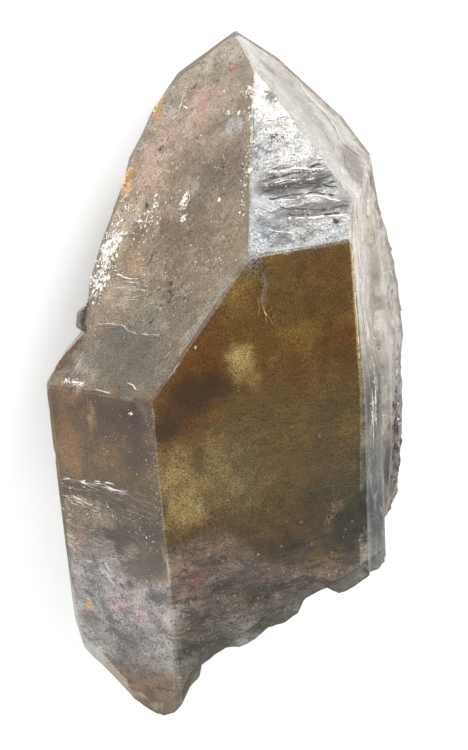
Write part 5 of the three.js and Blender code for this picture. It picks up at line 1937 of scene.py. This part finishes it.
class DustFinish(Finish):
    """Matt mineral dust: its painted colour, mottled and grainy."""

    def __init__(self, placing: Placing, kit: GroupKit) -> None:
        """Builds the dust's material."""
        super().__init__("mineral_dust", placing, kit)
        graph = self.graph
        speckle = self.attribute("speckle")
        amount = graph.math("MULTIPLY_ADD", speckle, -0.26, 0.66)
        colour = self.group(kit.mottle, {
            "Color": self.attribute("dust", "Vector"), "Coarse size": 2.4, "Fine size": 0.24,
            "Amount": amount})
        threads = graph.mapped(self.group(kit.wrinkles, {"Size": 1.1, "Depth": 1.0}), 0.58, 0.74, 0.3)
        dim = graph.add("ShaderNodeMix", {0: self.attribute("threaded"), 2: 1.0, 3: threads}).outputs[0]
        colour = graph.vector("MULTIPLY", colour, dim)
        dark, pale = (graph.math("MULTIPLY", speckle, most) for most in (0.14, 0.07))
        colour = self.group(kit.freckles, {
            "Color": colour, "Size": 0.6, "Dark share": dark, "Pale share": pale})
        pits = self.group(kit.pits, {"Size": 0.7, "Depth": 1.0})
        surface = graph.add("ShaderNodeBsdfPrincipled", {
            "Base Color": colour, "Roughness": 0.9, "Specular IOR Level": 0.1,
            "Normal": self.bump(pits, 0.5, 0.2)})
        graph.add("ShaderNodeOutputMaterial", {"Surface": surface.outputs[0]})


class MarkFinish(Finish):
    """Mineral grains and painted highlight marks on and in the quartz: their own colour, a little mottled,
    with a faint shine.
    """

    def __init__(self, placing: Placing, kit: GroupKit) -> None:
        """Builds the grains' material."""
        super().__init__("grains_and_painted_highlights", placing, kit)
        colour = self.group(kit.mottle, {
            "Color": self.attribute("dust", "Vector"), "Coarse size": 1.2, "Fine size": 0.3,
            "Amount": 0.12})
        pits = self.group(kit.pits, {"Size": 0.3, "Depth": 1.0})
        surface = self.graph.add("ShaderNodeBsdfPrincipled", {
            "Base Color": colour, "Roughness": 0.35, "Specular IOR Level": 0.5,
            "Normal": self.bump(pits, 0.4, 0.05)})
        self.graph.add("ShaderNodeOutputMaterial", {"Surface": surface.outputs[0]})


class QuartzFinish(Finish):
    """Smoky quartz: clear to frosted glass whose tint, satin and pitting follow the faces."""

    ior = 1.544
    clearness = 0.94
    smoke = (0.62, 0.50, 0.30, 1.0)
    smoke_density = 34.0

    def __init__(self, placing: Placing, kit: GroupKit) -> None:
        """Builds the quartz's material."""
        super().__init__("smoky_quartz", placing, kit)
        graph = self.graph
        speckle = self.attribute("speckle")
        tint = self.group(kit.mottle, {
            "Color": self.attribute("tint", "Vector"), "Coarse size": 1.3, "Fine size": 0.24,
            "Amount": graph.math("MULTIPLY_ADD", speckle, 0.03, 0.15)})
        share = graph.math("MULTIPLY", speckle, 0.06)
        tint = self.group(kit.freckles, {
            "Color": tint, "Size": 0.45, "Dark share": share, "Pale share": share})
        # Painted highlight: the tint turns whitish along the rounded edges.
        tint_with_edge_highlight = graph.mixed(self.attribute("wear_and_edge_highlight"), tint, (0.92, 0.91, 0.88, 1.0))
        swing = graph.mapped(graph.noise(self.place, 0.35, 4.0, 0.6), 0.3, 0.7, 0.75, 1.3)
        rough = graph.math("MULTIPLY", self.attribute("satin"), swing)
        pits = self.group(kit.pits, {"Size": 0.9, "Depth": self.attribute("pitting")})
        wrinkles = self.group(kit.wrinkles, {"Size": 0.9, "Depth": self.attribute("wrinkled")})
        glass = graph.add("ShaderNodeBsdfPrincipled", {
            "Base Color": tint_with_edge_highlight, "Roughness": rough, "IOR": self.ior,
            "Transmission Weight": self.clearness,
            "Normal": self.bump(graph.math("ADD", pits, wrinkles), 0.6, 0.12)})
        lets_lamps_in = graph.add("ShaderNodeLightPath").outputs["Is Shadow Ray"]
        clear = graph.add("ShaderNodeBsdfTransparent", {"Color": (0.86, 0.84, 0.80, 1.0)})
        surface = graph.add("ShaderNodeMixShader", {
            0: lets_lamps_in, 1: glass.outputs[0], 2: clear.outputs[0]})
        volume = graph.add("ShaderNodeVolumeAbsorption", {
            "Color": self.smoke, "Density": self.smoke_density})
        graph.add("ShaderNodeOutputMaterial", {
            "Surface": surface.outputs[0], "Volume": volume.outputs[0]})


class FloorFinish:
    """Plain pale floor."""

    def __init__(self) -> None:
        """Builds the floor's material: near white, matt, with the faintest unevenness."""
        self.material = bpy.data.materials.new("pale_floor")
        self.material.use_nodes = True
        self.material.node_tree.nodes.clear()
        graph = Graph(self.material.node_tree)
        where = graph.add("ShaderNodeTexCoord").outputs["Object"]
        shade = graph.mapped(graph.noise(where, 6.0, 2.0), 0.0, 1.0, 0.95, 0.97)
        surface = graph.add("ShaderNodeBsdfPrincipled", {
            "Base Color": shade, "Roughness": 0.8, "Specular IOR Level": 0.1})
        graph.add("ShaderNodeOutputMaterial", {"Surface": surface.outputs[0]})


@dataclass
class Studio:
    """Floor, soft light and the camera at the photograph's viewing angle."""

    placing: Placing
    look_from: Tuple[float, float, float] = (-0.3139, 0.2693, 0.9105)
    up: Tuple[float, float, float] = (0.1731, 0.9591, -0.2240)
    pivot: Tuple[float, float, float] = (20.0, 0.0, -25.0)
    distance: float = 599.16
    aside: Tuple[float, float] = (3.76, -4.33)
    focal_pixels: float = 3404.8
    frame_pixels: Tuple[int, int] = (468, 750)
    sensor: float = 24.0
    bright_side: Tuple[float, float, float] = (0.35, 0.80, 0.48)
    dim_and_bright: Tuple[float, float] = (1.2, 1.92)
    card_side: Tuple[float, float, float] = (0.314, -0.269, 0.911)
    card_edge: Tuple[float, float] = (0.80, 0.97)
    card_shade: float = 0.1

    def axes(self) -> Tuple[Vector, Vector, Vector]:
        """The camera's right, up and backward directions."""
        back = Vector(self.look_from).normalized()
        right = Vector(self.up).cross(back).normalized()
        return right, back.cross(right), back

    def camera(self) -> None:
        """Places the camera, with its picture upright along the crystal."""
        right, up, back = self.axes()
        eye = Vector(self.pivot) + right * self.aside[0] + up * self.aside[1] + back * self.distance
        lens = bpy.data.cameras.new("camera")
        lens.sensor_fit = "VERTICAL"
        lens.sensor_height = self.sensor
        lens.lens = self.focal_pixels * self.sensor / self.frame_pixels[1]
        lens.clip_start, lens.clip_end = 0.01, 20.0
        camera = bpy.data.objects.new("camera", lens)
        turn = Matrix((right, up, back)).transposed().to_4x4()
        camera.matrix_world = Matrix.Translation(self.placing.vector(eye)) @ turn
        bpy.context.scene.collection.objects.link(camera)
        bpy.context.scene.camera = camera

    def light(self, name: str, towards: Sequence[float], distance: float, size: float,
              power: float) -> None:
        """Hangs a square soft light in a direction from the crystal, facing it.

        Args:
            name: The light's name.
            towards: Direction from the crystal to the light.
            distance: Distance in metres.
            size: Side of the square in metres.
            power: Watts.
        """
        lamp = bpy.data.lights.new(name, "AREA")
        lamp.shape, lamp.size, lamp.energy = "SQUARE", size, power
        lit = bpy.data.objects.new(name, lamp)
        direction = Vector(towards).normalized()
        lit.matrix_world = (Matrix.Translation(self.placing.vector(self.pivot) + direction * distance)
                            @ direction.to_track_quat("Z", "Y").to_matrix().to_4x4())
        bpy.context.scene.collection.objects.link(lit)

    def room(self) -> None:
        """Soft light from all round, brighter on one side, with a dark card that the front face mirrors.

        The strength rises evenly from dim to bright with the cosine of the angle to the bright side,
        and falls to the card's shade where the cosine to the card's middle passes its edge.
        """
        world = bpy.data.worlds.new("studio")
        world.use_nodes = True
        graph = Graph(world.node_tree)
        sky = world.node_tree.nodes["Background"]
        sky.inputs["Color"].default_value = (1.0, 1.0, 1.0, 1.0)
        towards = graph.add("ShaderNodeTexCoord").outputs["Generated"]
        cosines = []
        for side in (self.bright_side, self.card_side):
            cosines.append(graph.add("ShaderNodeVectorMath", {
                0: towards, 1: tuple(Vector(side).normalized())}, operation="DOT_PRODUCT").outputs["Value"])
        glow = graph.mapped(cosines[0], -1.0, 1.0, *self.dim_and_bright)
        card = graph.mapped(cosines[1], *self.card_edge, 1.0, self.card_shade,
                            interpolation_type="SMOOTHSTEP")
        strength = graph.math("MULTIPLY", glow, card)
        world.node_tree.links.new(strength, sky.inputs["Strength"])
        bpy.context.scene.world = world

    def build(self) -> None:
        """Builds the whole studio."""
        scene = bpy.context.scene
        scene.view_settings.view_transform = "Standard"
        self.room()
        self.light("step_gleam", (0.314, 0.821, 0.476), 1.2, 0.2, 3.2)
        half, drop = 3.0, -0.00004
        mesh = bpy.data.meshes.new("floor")
        mesh.from_pydata([(-half, -half, drop), (half, -half, drop), (half, half, drop),
                          (-half, half, drop)], [], [(0, 1, 2, 3)])
        mesh.materials.append(FloorFinish().material)
        floor = bpy.data.objects.new("floor", mesh)
        scene.collection.objects.link(floor)


def main() -> None:
    """Builds the studio and the crystal's pieces, and reports each."""
    logging.basicConfig(level=logging.INFO, format="%(name)s: %(message)s")
    form = CrystalForm()
    placing = Placing.from_frame(form)
    studio = Studio(placing)
    studio.camera()
    studio.build()
    kit = GroupKit()
    maker = MeshMaker(placing)
    quartz = QuartzFinish(placing, kit)
    dust = DustFinish(placing, kit)
    grain_and_highlight_finish = MarkFinish(placing, kit)
    skin = QuartzSkin(form)
    pieces = [skin.build(maker, quartz.material), SmokeCloud(form, skin).build(maker, dust.material)]
    pieces += Marks(form, skin).build(maker, grain_and_highlight_finish.material)
    for piece in pieces:
        LOG.info("%s: %d triangles", piece.name, len(piece.data.polygons))


if __name__ == "__main__":
    main()
